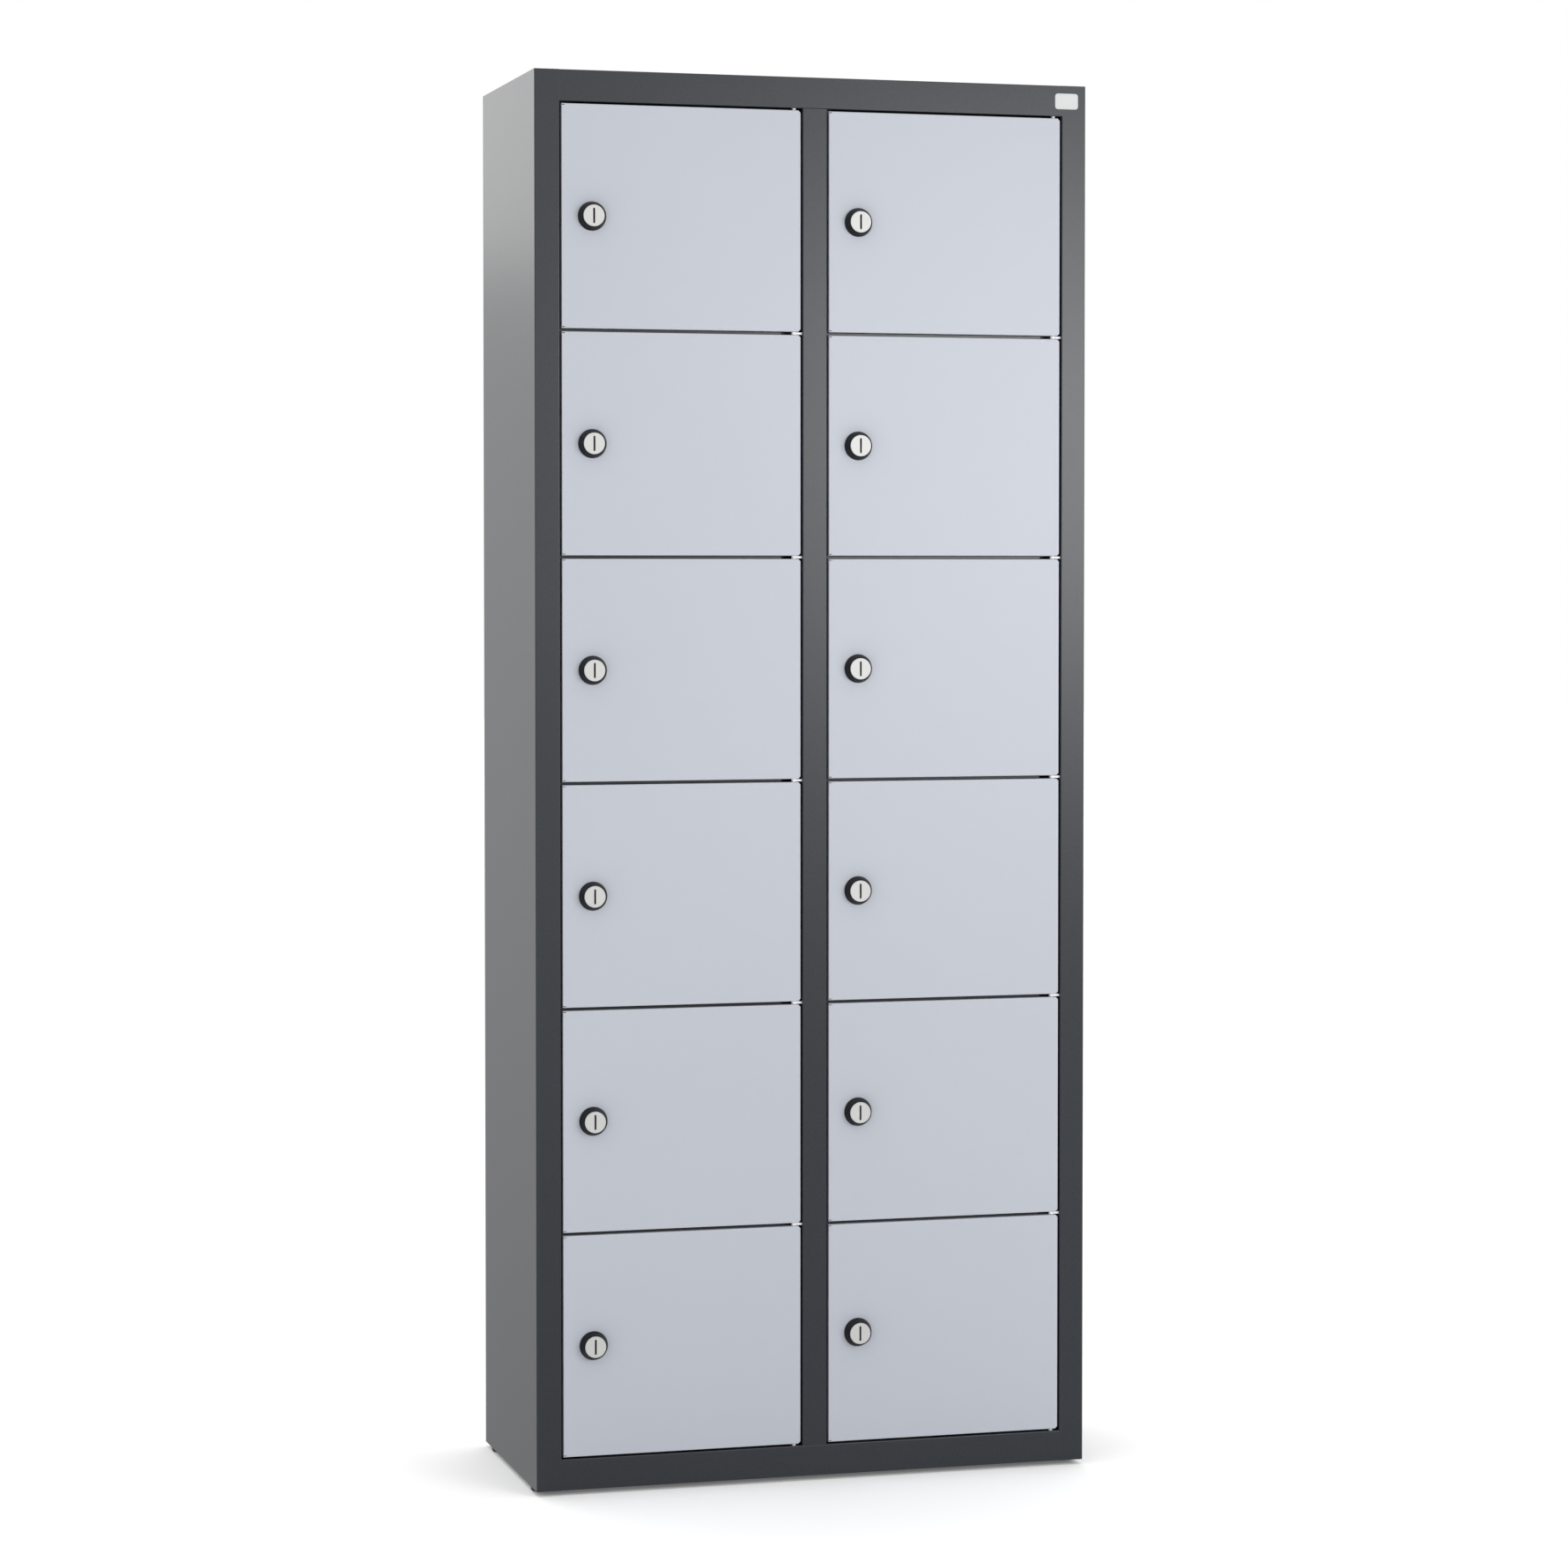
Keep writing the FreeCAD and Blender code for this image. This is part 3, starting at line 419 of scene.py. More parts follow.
def noise(tree, place, source, scale, detail):
    """A 0 to 1 noise on coordinates from a source socket."""
    made = add_node(tree, "ShaderNodeTexNoise", place)
    feed(tree, made.inputs["Scale"], scale)
    made.inputs["Detail"].default_value = detail
    tree.links.new(source, made.inputs["Vector"])
    return made.outputs["Fac"]


def ranged(tree, place, source, low, high, to_low=0.0, to_high=1.0):
    """What a source socket gives, with low to high taken to new limits, and held there."""
    made = add_node(tree, "ShaderNodeMapRange", place)
    made.inputs["From Min"].default_value = low
    made.inputs["From Max"].default_value = high
    feed(tree, made.inputs["To Min"], to_low)
    feed(tree, made.inputs["To Max"], to_high)
    tree.links.new(source, made.inputs["Value"])
    return made.outputs["Result"]


def calculation(tree, place, operation, first, second):
    """A Math node on two inputs, each a socket or a number."""
    made = add_node(tree, "ShaderNodeMath", place, operation=operation)
    feed(tree, made.inputs[0], first)
    feed(tree, made.inputs[1], second)
    return made.outputs["Value"]


def coat_group():
    """Powder coat: the fine orange peel, slow changes of tone and slight changes of gloss."""
    name = "Powder Coat"
    if name in bpy.data.node_groups:
        return bpy.data.node_groups[name]
    inputs = {
        "Colour": ("Color", (0.5, 0.5, 0.5, 1)),
        "Roughness": ("Float", 0.4),
        "Peel Size": ("Float", 900.0),
        "Tone Change": ("Float", 0.03),
    }
    outputs = {"Colour": "Color", "Roughness": "Float", "Height": "Float"}
    group, given, out = new_group(name, inputs, outputs)
    place = add_node(group, "ShaderNodeTexCoord", (-900, -300)).outputs["Object"]
    peel = noise(group, (-600, -300), place, given.outputs["Peel Size"], detail=2.0)
    peel.node.inputs["Roughness"].default_value = 0.45
    broad = noise(group, (-600, 100), place, scale=2.2, detail=3.0)
    speck = noise(group, (-600, -600), place, scale=2600.0, detail=1.0)
    change = given.outputs["Tone Change"]
    darker = calculation(group, (-500, 350), "SUBTRACT", 1.0, change)
    lighter = calculation(group, (-500, 500), "ADD", 1.0, change)
    tone = ranged(group, (-300, 200), broad, 0.3, 0.7, darker, lighter)
    shade = add_node(group, "ShaderNodeVectorMath", (100, 200), operation="SCALE")
    gloss = ranged(group, (-100, -500), speck, 0.35, 0.65, -0.035, 0.035)
    sheen = calculation(group, (200, -400), "ADD", gloss, given.outputs["Roughness"])
    link = group.links.new
    link(given.outputs["Colour"], shade.inputs[0])
    link(tone, shade.inputs["Scale"])
    link(shade.outputs["Vector"], out.inputs["Colour"])
    link(sheen, out.inputs["Roughness"])
    link(peel, out.inputs["Height"])
    return group


def grain_group():
    """Moulded or worked grain: noise stretched along one axis, for plastic, metal and rubber."""
    name = "Fine Grain"
    if name in bpy.data.node_groups:
        return bpy.data.node_groups[name]
    inputs = {
        "Vector": ("Vector", None),
        "Stretch": ("Vector", (1, 1, 1)),
        "Scale": ("Float", 1500.0),
        "Roughness": ("Float", 0.5),
        "Roughness Change": ("Float", 0.1),
    }
    group, given, out = new_group(name, inputs, {"Grain": "Float", "Roughness": "Float"})
    stretch = add_node(group, "ShaderNodeVectorMath", (-550, 100), operation="MULTIPLY")
    stretched = stretch.outputs["Vector"]
    grain = noise(group, (-300, 100), stretched, given.outputs["Scale"], detail=3.0)
    centre = calculation(group, (-50, -100), "SUBTRACT", grain, 0.5)
    change = add_node(group, "ShaderNodeMath", (120, -100), operation="MULTIPLY_ADD")
    link = group.links.new
    link(given.outputs["Vector"], stretch.inputs[0])
    link(given.outputs["Stretch"], stretch.inputs[1])
    link(centre, change.inputs[0])
    link(given.outputs["Roughness Change"], change.inputs[1])
    link(given.outputs["Roughness"], change.inputs[2])
    link(grain, out.inputs["Grain"])
    link(change.outputs[0], out.inputs["Roughness"])
    return group


def wear_highlight_group():
    """Edge wear and painted highlight: a broken line along sharp edges, where the bevelled normal leaves
    the face.
    """
    name = "Edge Wear"
    if name in bpy.data.node_groups:
        return bpy.data.node_groups[name]
    inputs = {"Width": ("Float", 0.001), "Amount": ("Float", 0.3)}
    group, given, out = new_group(name, inputs, {"Mask": "Float"})
    place = add_node(group, "ShaderNodeTexCoord", (-900, -300)).outputs["Object"]
    surface = add_node(group, "ShaderNodeNewGeometry", (-900, 300))
    turned = add_node(group, "ShaderNodeBevel", (-600, 0), samples=2)
    facing = add_node(group, "ShaderNodeVectorMath", (-400, 100), operation="DOT_PRODUCT")
    edge = ranged(group, (-200, 100), facing.outputs["Value"], 0.995, 0.85)
    patches = noise(group, (-600, -300), place, scale=14.0, detail=4.0)
    broken = ranged(group, (-200, -300), patches, 0.4, 0.62)
    joined = calculation(group, (50, 0), "MULTIPLY", edge, broken)
    scaled = calculation(group, (250, 0), "MULTIPLY", joined, given.outputs["Amount"])
    link = group.links.new
    link(given.outputs["Width"], turned.inputs["Radius"])
    link(turned.outputs["Normal"], facing.inputs[0])
    link(surface.outputs["Normal"], facing.inputs[1])
    link(scaled, out.inputs["Mask"])
    return group


def new_material(name):
    """A material and its Principled shader, or no shader when the material was there before."""
    material = bpy.data.materials.get(name)
    if material:
        return material, None
    material = bpy.data.materials.new(name)
    material.use_nodes = True
    return material, material.node_tree.nodes["Principled BSDF"]


def roughen(tree, shader, roughness, height, depth):
    """Give a shader its roughness, and a bump of a real depth in metres from a 0 to 1 height."""
    bump = add_node(tree, "ShaderNodeBump", (-250, -350))
    bump.inputs["Distance"].default_value = depth
    tree.links.new(height, bump.inputs["Height"])
    tree.links.new(bump.outputs["Normal"], shader.inputs["Normal"])
    tree.links.new(roughness, shader.inputs["Roughness"])


def wear_highlight_colour(rgb, gain, lift):
    """The lighter colour of a rubbed edge, partly a painted highlight along the bend."""
    return [min(1.0, gain * part + lift) for part in rgb] + [1.0]


def wear_highlight_mix(tree, clean, wear_highlight_rgb, width, amount):
    """A colour that goes from clean to lighter along the edges: rubbed wear and a painted highlight."""
    wear_highlight_node = add_node(tree, "ShaderNodeGroup", (-550, 300), node_tree=wear_highlight_group())
    wear_highlight_node.inputs["Width"].default_value = width
    wear_highlight_node.inputs["Amount"].default_value = amount
    mixed = add_node(tree, "ShaderNodeMix", (-250, 200), data_type="RGBA")
    mixed.inputs["B"].default_value = wear_highlight_rgb
    tree.links.new(wear_highlight_node.outputs["Mask"], mixed.inputs["Factor"])
    feed(tree, mixed.inputs["A"], clean)
    return mixed.outputs["Result"]


def powder_coat(name, rgb, roughness, peel_size, tone_change, peel_depth):
    """Polyester powder coat on sheet steel."""
    material, shader = new_material(name)
    if shader is None:
        return material
    tree = material.node_tree
    coat = add_node(tree, "ShaderNodeGroup", (-550, 0), node_tree=coat_group())
    coat.inputs["Colour"].default_value = (*rgb, 1)
    coat.inputs["Roughness"].default_value = roughness
    coat.inputs["Peel Size"].default_value = peel_size
    coat.inputs["Tone Change"].default_value = tone_change
    roughen(tree, shader, coat.outputs["Roughness"], coat.outputs["Height"], peel_depth)
    # Lighter broken edges: rubbed wear and a painted highlight along the bends.
    wear_highlight_rgb = wear_highlight_colour(rgb, gain=1.25, lift=0.02)
    wear_highlighted = wear_highlight_mix(tree, coat.outputs["Colour"], wear_highlight_rgb, width=1.2 * MILLIMETRE, amount=0.5)
    tree.links.new(wear_highlighted, shader.inputs["Base Color"])
    shader.inputs["IOR"].default_value = 1.5
    return material


def grained(
    name, rgb, roughness, change, scale, depth, stretch=(1, 1, 1), metallic=0.0, shine=0.5
):
    """A plastic, rubber or metal with a fine grain, and lighter edges for rubbed wear and a painted
    highlight.
    """
    material, shader = new_material(name)
    if shader is None:
        return material
    tree = material.node_tree
    place = add_node(tree, "ShaderNodeTexCoord", (-900, 0)).outputs["Object"]
    grain = add_node(tree, "ShaderNodeGroup", (-600, 0), node_tree=grain_group())
    grain.inputs["Stretch"].default_value = stretch
    grain.inputs["Scale"].default_value = scale
    grain.inputs["Roughness"].default_value = roughness
    grain.inputs["Roughness Change"].default_value = change
    tree.links.new(place, grain.inputs["Vector"])
    roughen(tree, shader, grain.outputs["Roughness"], grain.outputs["Grain"], depth)
    # Lighter broken edges: rubbed wear and a painted highlight.
    wear_highlight_rgb = wear_highlight_colour(rgb, gain=1.3, lift=0.01)
    wear_highlighted = wear_highlight_mix(tree, (*rgb, 1), wear_highlight_rgb, width=0.5 * MILLIMETRE, amount=0.5)
    tree.links.new(wear_highlighted, shader.inputs["Base Color"])
    shader.inputs["Metallic"].default_value = metallic
    shader.inputs["Specular IOR Level"].default_value = shine
    return material


def turned_metal(name, rgb, roughness, change, ring_scale, depth, metallic):
    """Metal faced on a lathe: fine rings about the origin of the piece's face map."""
    material, shader = new_material(name)
    if shader is None:
        return material
    tree = material.node_tree
    place = add_node(tree, "ShaderNodeUVMap", (-1100, 0), uv_map="face")
    radius = add_node(tree, "ShaderNodeVectorMath", (-900, 0), operation="LENGTH")
    spread = add_node(tree, "ShaderNodeCombineXYZ", (-750, 0))
    rings = noise(tree, (-550, 0), spread.outputs["Vector"], ring_scale, detail=2.0)
    gloss = ranged(tree, (-300, 100), rings, 0.0, 1.0, roughness - change, roughness + change)
    tree.links.new(place.outputs["UV"], radius.inputs[0])
    tree.links.new(radius.outputs["Value"], spread.inputs["X"])
    roughen(tree, shader, gloss, rings, depth)
    shader.inputs["Base Color"].default_value = (*rgb, 1)
    shader.inputs["Metallic"].default_value = metallic
    return material


def colours():
    return bpy.context.scene.locker_colours


def frame_paint():
    return powder_coat(
        "Anthracite Powder Coat", colours().frame_paint,
        roughness=0.30, peel_size=900, tone_change=0.05, peel_depth=0.03 * MILLIMETRE,
    )


def door_paint():
    return powder_coat(
        "Blue-Grey Powder Coat", colours().door_paint,
        roughness=0.40, peel_size=900, tone_change=0.012, peel_depth=0.02 * MILLIMETRE,
    )


def black_plastic():
    return grained(
        "Black Moulded Plastic", colours().black_plastic,
        roughness=0.5, change=0.15, scale=1400, depth=0.02 * MILLIMETRE, shine=0.2,
    )


def lock_nickel():
    return turned_metal(
        "Satin Nickel", colours().lock_nickel,
        roughness=0.42, change=0.08, ring_scale=5000, depth=0.003 * MILLIMETRE, metallic=0.18,
    )


def slot_painted_shade():
    # Near-black walls of the key slot: painted shade in the recess.
    return grained(
        "Key Slot", colours().slot_painted_shade,
        roughness=0.6, change=0.2, scale=900, depth=0.01 * MILLIMETRE,
    )


def zinc():
    return grained(
        "Zinc Plate", colours().zinc,
        roughness=0.4, change=0.25, scale=420, depth=0.008 * MILLIMETRE, metallic=0.75,
    )


def nylon():
    return grained(
        "Natural Nylon", colours().nylon,
        roughness=0.38, change=0.1, scale=900, depth=0.01 * MILLIMETRE,
    )


def rubber():
    return grained(
        "Buffer Rubber", colours().rubber,
        roughness=0.7, change=0.2, scale=1800, depth=0.03 * MILLIMETRE,
    )


def foot_plastic():
    return grained(
        "Foot Plastic", colours().foot_plastic,
        roughness=0.5, change=0.2, scale=1300, depth=0.03 * MILLIMETRE,
    )


def plate_finish():
    return grained(
        "Satin Plate", colours().plate,
        roughness=0.34, change=0.12, scale=900, depth=0.006 * MILLIMETRE, stretch=(0.02, 1, 1),
    )


def paint(piece, *materials):
    piece.data.materials.clear()
    for material in materials:
        piece.data.materials.append(material)


# ---------------- pieces


def thread(radius, depth, pitch, low, high):
    """Points of a thread's profile along a cylinder, from low to high."""
    count = int((high - low) / pitch)
    points = []
    for turn in range(count):
        start = low + turn * pitch
        points += [(radius, start), (radius - depth, start + pitch * 0.5)]
    return points + [(radius, low + count * pitch)]


def arc(across, up, radius, first, sweep, step=15):
    """Points of an arc that lies across the Y axis, with its angles in whole degrees."""
    points = []
    for turn in range(first, first + sweep + 1, step):
        angle = math.radians(turn)
        points.append((across + radius * math.cos(angle), 0, up + radius * math.sin(angle)))
    return points


def hexagon(corner):
    """A closed hexagon across the Y axis, with a given radius over its corners."""
    return arc(0, 0, corner, first=0, sweep=360, step=60)


def rounded(ends):
    """A closed outline across the Y axis with half a circle around each of two points.

    Each end is its point, its radius and the angle its half circle starts at.
    """
    points = []
    for (across, up), radius, first in ends:
        points += arc(across, up, radius, first, sweep=180)
    return points + points[:1]


def lock_spot(door):
    """Where a lock's axis meets its door's front face."""
    axis = JOINTS[door + "_lock_turn"]["pos_m"]
    return Vector((axis[0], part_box(door)[0].y, axis[2]))


class LOCKER_OT_sheet_metal(bpy.types.Operator):
    """Paint the folded sheets of the body, the shelves and the doors"""

    bl_idname = "locker.sheet_metal"
    bl_label = "Paint Sheet Metal"

    def execute(self, context):
        finishes = {"frame_paint": frame_paint(), "door_paint": door_paint()}
        for entry in frame["record"]["subparts"]:
            if entry["material_slot"] in finishes:
                paint(frame["nodes"][entry["node"]], finishes[entry["material_slot"]])
        return {"FINISHED"}


class LOCKER_OT_lock_housings(bpy.types.Operator):
    """Model a lock's conical collar, threaded sleeve and nut, and copy them to each door"""

    bl_idname = "locker.lock_housings"
    bl_label = "Lock Housings"

    def execute(self, context):
        sizes = context.scene.locker_locks
        collar = self.collar(sizes)
        nut = self.nut(sizes)
        for door in DOORS:
            place = lock_spot(door)
            for master, part, slot in (
                (collar, "_lock_collar", "black_plastic"),
                (nut, "_lock_nut", "zinc_steel"),
            ):
                piece = copy_to(master, door + part, place)
                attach(piece, door)
                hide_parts(door + "_lock_housing")
        drop(collar, nut)
        return {"FINISHED"}

    def collar(self, sizes):
        """The moulded collar with a bore for the disc and a threaded sleeve behind it."""
        low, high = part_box(DOORS[0] + "_lock_housing")
        disc_low, disc_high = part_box(DOORS[0] + "_lock_cylinder")
        front = lock_spot(DOORS[0]).y
        base, tip, end = (high.x - low.x) / 2, low.y - front, high.y - front
        bore = (disc_high.x - disc_low.x) / 2 + sizes.bore_play
        outline = [
            (bore, tip),
            (bore + sizes.rim, tip),
            (base, -sizes.base_edge),
            (base, 0.0),
            (sizes.sleeve, 0.0),
            *thread(sizes.sleeve, sizes.thread_depth, sizes.thread_pitch, sizes.sheet, end),
            (sizes.sleeve_bore, end),
            (sizes.sleeve_bore, tip + sizes.bore_depth),
            (bore, tip + sizes.bore_depth),
            (bore, tip),
        ]
        collar = lathe("lock_collar", outline, (0, 1, 0), sizes.steps)
        soften(collar, sizes.rim_round, segments=3)
        smooth(collar, angle=40)
        paint(collar, black_plastic())
        return collar

    def nut(self, sizes):
        """The hexagon nut that holds the collar from inside the door."""
        outline = hexagon(sizes.nut / math.cos(math.pi / 6))
        nut = prism("lock_nut", outline, (0, 1, 0), sizes.sheet, sizes.sheet + sizes.nut_height)
        hole = sizes.sleeve + sizes.bore_play
        reach = 2 * sizes.nut_height
        bore = [(0, -reach), (hole, -reach), (hole, reach), (0, reach)]
        combine(nut, lathe("nut_bore", bore, (0, 1, 0), sizes.steps))
        soften(nut, 0.4 * MILLIMETRE, angle=45)
        smooth(nut)
        paint(nut, zinc())
        return nut


class LOCKER_OT_lock_cylinders(bpy.types.Operator):
    """Model the turning parts of a lock: keyed disc and barrel, cam and cam screw"""

    bl_idname = "locker.lock_cylinders"
    bl_label = "Lock Cylinders"

    def execute(self, context):
        sizes = context.scene.locker_locks
        low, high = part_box(DOORS[0] + "_lock_cylinder")
        spot = lock_spot(DOORS[0])
        cam_front = high.y - spot.y - sizes.screw_height - sizes.cam_sheet
        rotor = self.rotor(sizes, (high.x - low.x) / 2, low.y - spot.y, cam_front)
        cam = self.cam(sizes, cam_front, spot.z - low.z)
        screw = self.screw(sizes, cam_front + sizes.cam_sheet)
        for door in DOORS:
            for master, part, slot in (
                (rotor, "_lock_disc", "lock_metal"),
                (cam, "_lock_cam", "zinc_steel"),
                (screw, "_cam_screw", "zinc_steel"),
            ):
                piece = copy_to(master, door + part, lock_spot(door))
                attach(piece, door + "_lock")
                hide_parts(door + "_lock_cylinder")
        drop(rotor, cam, screw)
        return {"FINISHED"}

    def rotor(self, sizes, disc, tip, cam_front):
        """The disc with its key slot, and the barrel behind it."""
        face = tip + sizes.disc_dish
        outline = [
            (0.0, face),
            (disc - sizes.disc_edge, face),
            (disc, face + sizes.disc_edge),
            (disc, face + sizes.disc_height),
            (sizes.barrel, face + sizes.disc_height),
            (sizes.barrel, cam_front),
            (0.0, cam_front),
        ]
        rotor = lathe("lock_rotor", outline, (0, 1, 0), sizes.steps)
        paint(rotor, lock_nickel())
        half_width = sizes.slot_width / 2
        straight = sizes.slot_length / 2 - half_width
        ends = (((0, straight), half_width, 0), ((0, -straight), half_width, 180))
        cutter = prism("key_slot", rounded(ends), (0, 1, 0), face - disc, face + sizes.slot_depth)
        # The cutter's near-black gives the slot's walls painted shade.
        paint(cutter, slot_painted_shade())
        combine(rotor, cutter)
        smooth(rotor)
        face_map(rotor, 0, 2)
        return rotor

    def cam(self, sizes, front, reach):
        """The flat steel cam with rounded ends, hanging down."""
        tip = (0, sizes.cam_tip - reach)
        ends = (((0, 0), sizes.cam_root, 0), (tip, sizes.cam_tip, 180))
        cam = prism("lock_cam", rounded(ends), (0, 1, 0), front, front + sizes.cam_sheet)
        soften(cam, 0.3 * MILLIMETRE)
        smooth(cam)
        paint(cam, zinc())
        return cam

    def screw(self, sizes, seat):
        """A pan-head screw with a washer face and a hexagon socket."""
        head, height = sizes.screw_head, sizes.screw_height
        outline = [(head * across, seat + height * up) for across, up in SCREW_PROFILE]
        screw = lathe("cam_screw", outline, (0, 1, 0), sizes.steps // 2)
        floor, past = seat + sizes.socket_floor, seat + 2 * height
        combine(screw, prism("socket", hexagon(sizes.screw_socket), (0, 1, 0), floor, past))
        soften(screw, 0.15 * MILLIMETRE)
        smooth(screw)
        paint(screw, zinc())
        return screw


class LOCKER_OT_hinges(bpy.types.Operator):
    """Model the nylon hinge brackets and bushes and the steel pins at each hinge axis"""

    bl_idname = "locker.hinges"
    bl_label = "Hinges"

    def execute(self, context):
        sizes = context.scene.locker_hinges
        rows = sorted({round(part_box(door)[0].z, 6) for door in DOORS})
        low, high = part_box(DOORS[0])
        half_gap = (rows[1] - rows[0] - (high.z - low.z)) / 2
        bracket = self.bracket(sizes, half_gap - sizes.play)
        reach = half_gap + sizes.pin_reach
        pin = self.pin(sizes, -reach, reach)
        bottom = min(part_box(door)[0].z for door in DOORS)
        ends = ((bottom - sizes.end_gap, 1), (high.z + sizes.end_gap, -1))
        brackets, pins, bushes = [], [], []
        for letter in "AB":
            axis = Vector(JOINTS["door_%s1_hinge" % letter]["pos_m"])
            for number, row in enumerate(rows[1:], start=1):
                place = Vector((axis.x, axis.y, row - half_gap))
                name = "%s_%d" % (letter, number)
                brackets.append(copy_to(bracket, "hinge_bracket_" + name, place))
                pins.append(copy_to(pin, "hinge_pin_" + name, place))
            for height, up in ends:
                bush = self.bush(sizes, up)
                bush.data.transform(Matrix.Translation((axis.x, axis.y, height)))
                bushes.append(bush)
                span = sorted((-2 * up * sizes.sheet, up * (sizes.end_gap + sizes.pin_reach)))
                short = self.pin(sizes, *span)
                short.data.transform(Matrix.Translation((axis.x, axis.y, height)))
                pins.append(short)
        for node, pieces, name, slot in (
            ("hinge_brackets", brackets, "nylon_brackets", "white_nylon"),
            ("hinge_bushes", bushes, "nylon_bushes", "white_nylon"),
            ("hinge_pins", pins, "steel_pins", "zinc_steel"),
        ):
            whole = join(pieces, name)
            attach(whole, CABINET)
            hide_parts(node)
        drop(bracket, pin)
        return {"FINISHED"}

    def bracket(self, sizes, half):
        """A round eye on a flatter arm, its tail running through the frame's slot."""
        low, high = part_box("hinge_brackets")
        first, last = (JOINTS["door_%s1_hinge" % letter]["pos_m"][0] for letter in "AB")
        eye, reach = first - low.x, high.x - last
        outline = [(0, -half), (eye, -half), (eye, half), (0, half)]
        bracket = lathe("bracket", outline, (0, 0, 1), sizes.steps)
        depth, height = sizes.arm_depth, sizes.arm_height
        corners = [(0, -depth, 0), (reach, -depth, 0), (reach, depth, 0), (0, depth, 0)]
        arm = prism("arm", corners + corners[:1], (0, 0, 1), -height, height)
        combine(bracket, arm, "UNION")
        soften(bracket, sizes.edge)
        smooth(bracket)
        paint(bracket, nylon())
        return bracket

    def bush(self, sizes, up):
        """A bush, headed behind the rail's sheet, with a collar in the gap below or above."""
        head = sizes.stem + sizes.sheet
        levels = (
            (sizes.pin, -2 * sizes.sheet),
            (head, -2 * sizes.sheet),
            (head, -sizes.sheet),
            (sizes.stem, -sizes.sheet),
            (sizes.stem, 0.0),
            (sizes.collar, 0.0),
            (sizes.collar, sizes.end_gap - sizes.play),
            (sizes.pin, sizes.end_gap - sizes.play),
            (sizes.pin, -2 * sizes.sheet),
        )
        outline = [(radius, up * height) for radius, height in levels]
        bush = lathe("bush", outline, (0, 0, 1), sizes.steps)
        soften(bush, sizes.edge / 3)
        smooth(bush)
        paint(bush, nylon())
        return bush

    def pin(self, sizes, low, high):
        """A plain steel pin with chamfered ends."""
        radius, tip = sizes.pin, sizes.pin_tip
        outline = [
            (0.0, low),
            (radius - tip, low),
            (radius, low + tip),
            (radius, high - tip),
            (radius - tip, high),
            (0.0, high),
        ]
        pin = lathe("pin", outline, (0, 0, 1), sizes.steps)
        smooth(pin)
        paint(pin, zinc())
        return pin


class LOCKER_OT_feet(bpy.types.Operator):
    """Model a levelling foot, its fluted pad and threaded stem, and paint the inserts in the base"""

    bl_idname = "locker.feet"
    bl_label = "Levelling Feet"

    def execute(self, context):
        sizes = context.scene.locker_feet
        low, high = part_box(FEET[0])
        stem, height = sizes.stem, high.z - low.z
        top = height - sizes.lower_edge
        pad = self.pad(sizes, (high.x - low.x) / 2, sizes.pad_height)
        outline = [
            (0.0, sizes.pad_height / 2),
            (stem, sizes.pad_height / 2),
            *thread(stem, sizes.thread_depth, sizes.thread_pitch, sizes.pad_height, top),
            (stem - sizes.lower_edge / 2, height),
            (0.0, height),
        ]
        rod = lathe("stem", outline, (0, 0, 1), sizes.steps)
        smooth(rod)
        paint(rod, zinc())
        for foot in FEET:
            low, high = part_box(foot)
            place = Vector(((low.x + high.x) / 2, (low.y + high.y) / 2, low.z))
            for master, part, slot in ((pad, "_pad", "foot_plastic"), (rod, "_stem", "zinc_steel")):
                piece = copy_to(master, foot + part, place)
                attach(piece, foot)
                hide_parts(foot)
        drop(pad, rod)
        paint(frame["nodes"]["foot_inserts"], zinc())
        return {"FINISHED"}

    def pad(self, sizes, radius, top):
        """The round pad, with flutes to grip it by."""
        outline = [
            (0.0, 0.0),
            (radius - sizes.lower_edge, 0.0),
            (radius, sizes.lower_edge),
            (radius, top - sizes.upper_edge),
            (radius - sizes.upper_edge, top),
            (0.0, top),
        ]
        count = sizes.grip_count
        pad = lathe("pad", outline, (0, 0, 1), count * sizes.grip_steps)
        wide = [v for v in pad.data.vertices if v.co.xy.length > radius - sizes.grip_depth]
        for vertex in wide:
            turn = math.atan2(vertex.co.y, vertex.co.x)
            dent = sizes.grip_depth * (0.5 - 0.5 * math.cos(turn * count))
            vertex.co.xy *= 1 - dent / vertex.co.xy.length
        soften(pad, 0.3 * MILLIMETRE)
        smooth(pad, angle=35)
        paint(pad, foot_plastic())
        return pad


class LOCKER_OT_buffers(bpy.types.Operator):
    """Model the domed rubber buffers on the stop lip"""

    bl_idname = "locker.buffers"
    bl_label = "Door Buffers"

    def execute(self, context):
        sizes = context.scene.locker_small
        low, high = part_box("door_buffers")
        height, radius = high.y - low.y, sizes.buffer
        outline = [(radius * across, low.y + height * up) for across, up in BUFFER_PROFILE]
        master = lathe("buffer", outline, (0, 1, 0), sizes.buffer_steps)
        smooth(master, angle=60)
        paint(master, rubber())
        pieces = []
        for door in DOORS:
            door_low, door_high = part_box(door)
            x = low.x + radius if door.startswith("door_A") else high.x - radius
            low_z, high_z = door_low.z + sizes.buffer_inset, door_high.z - sizes.buffer_inset
            for end, z in (("low", low_z), ("high", high_z)):
                name = "buffer_%s_%s" % (door, end)
                pieces.append(copy_to(master, name, Vector((x, 0, z))))
        whole = join(pieces, "door_buffers_domed")
        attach(whole, CABINET)
        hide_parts("door_buffers")
        drop(master)
        return {"FINISHED"}


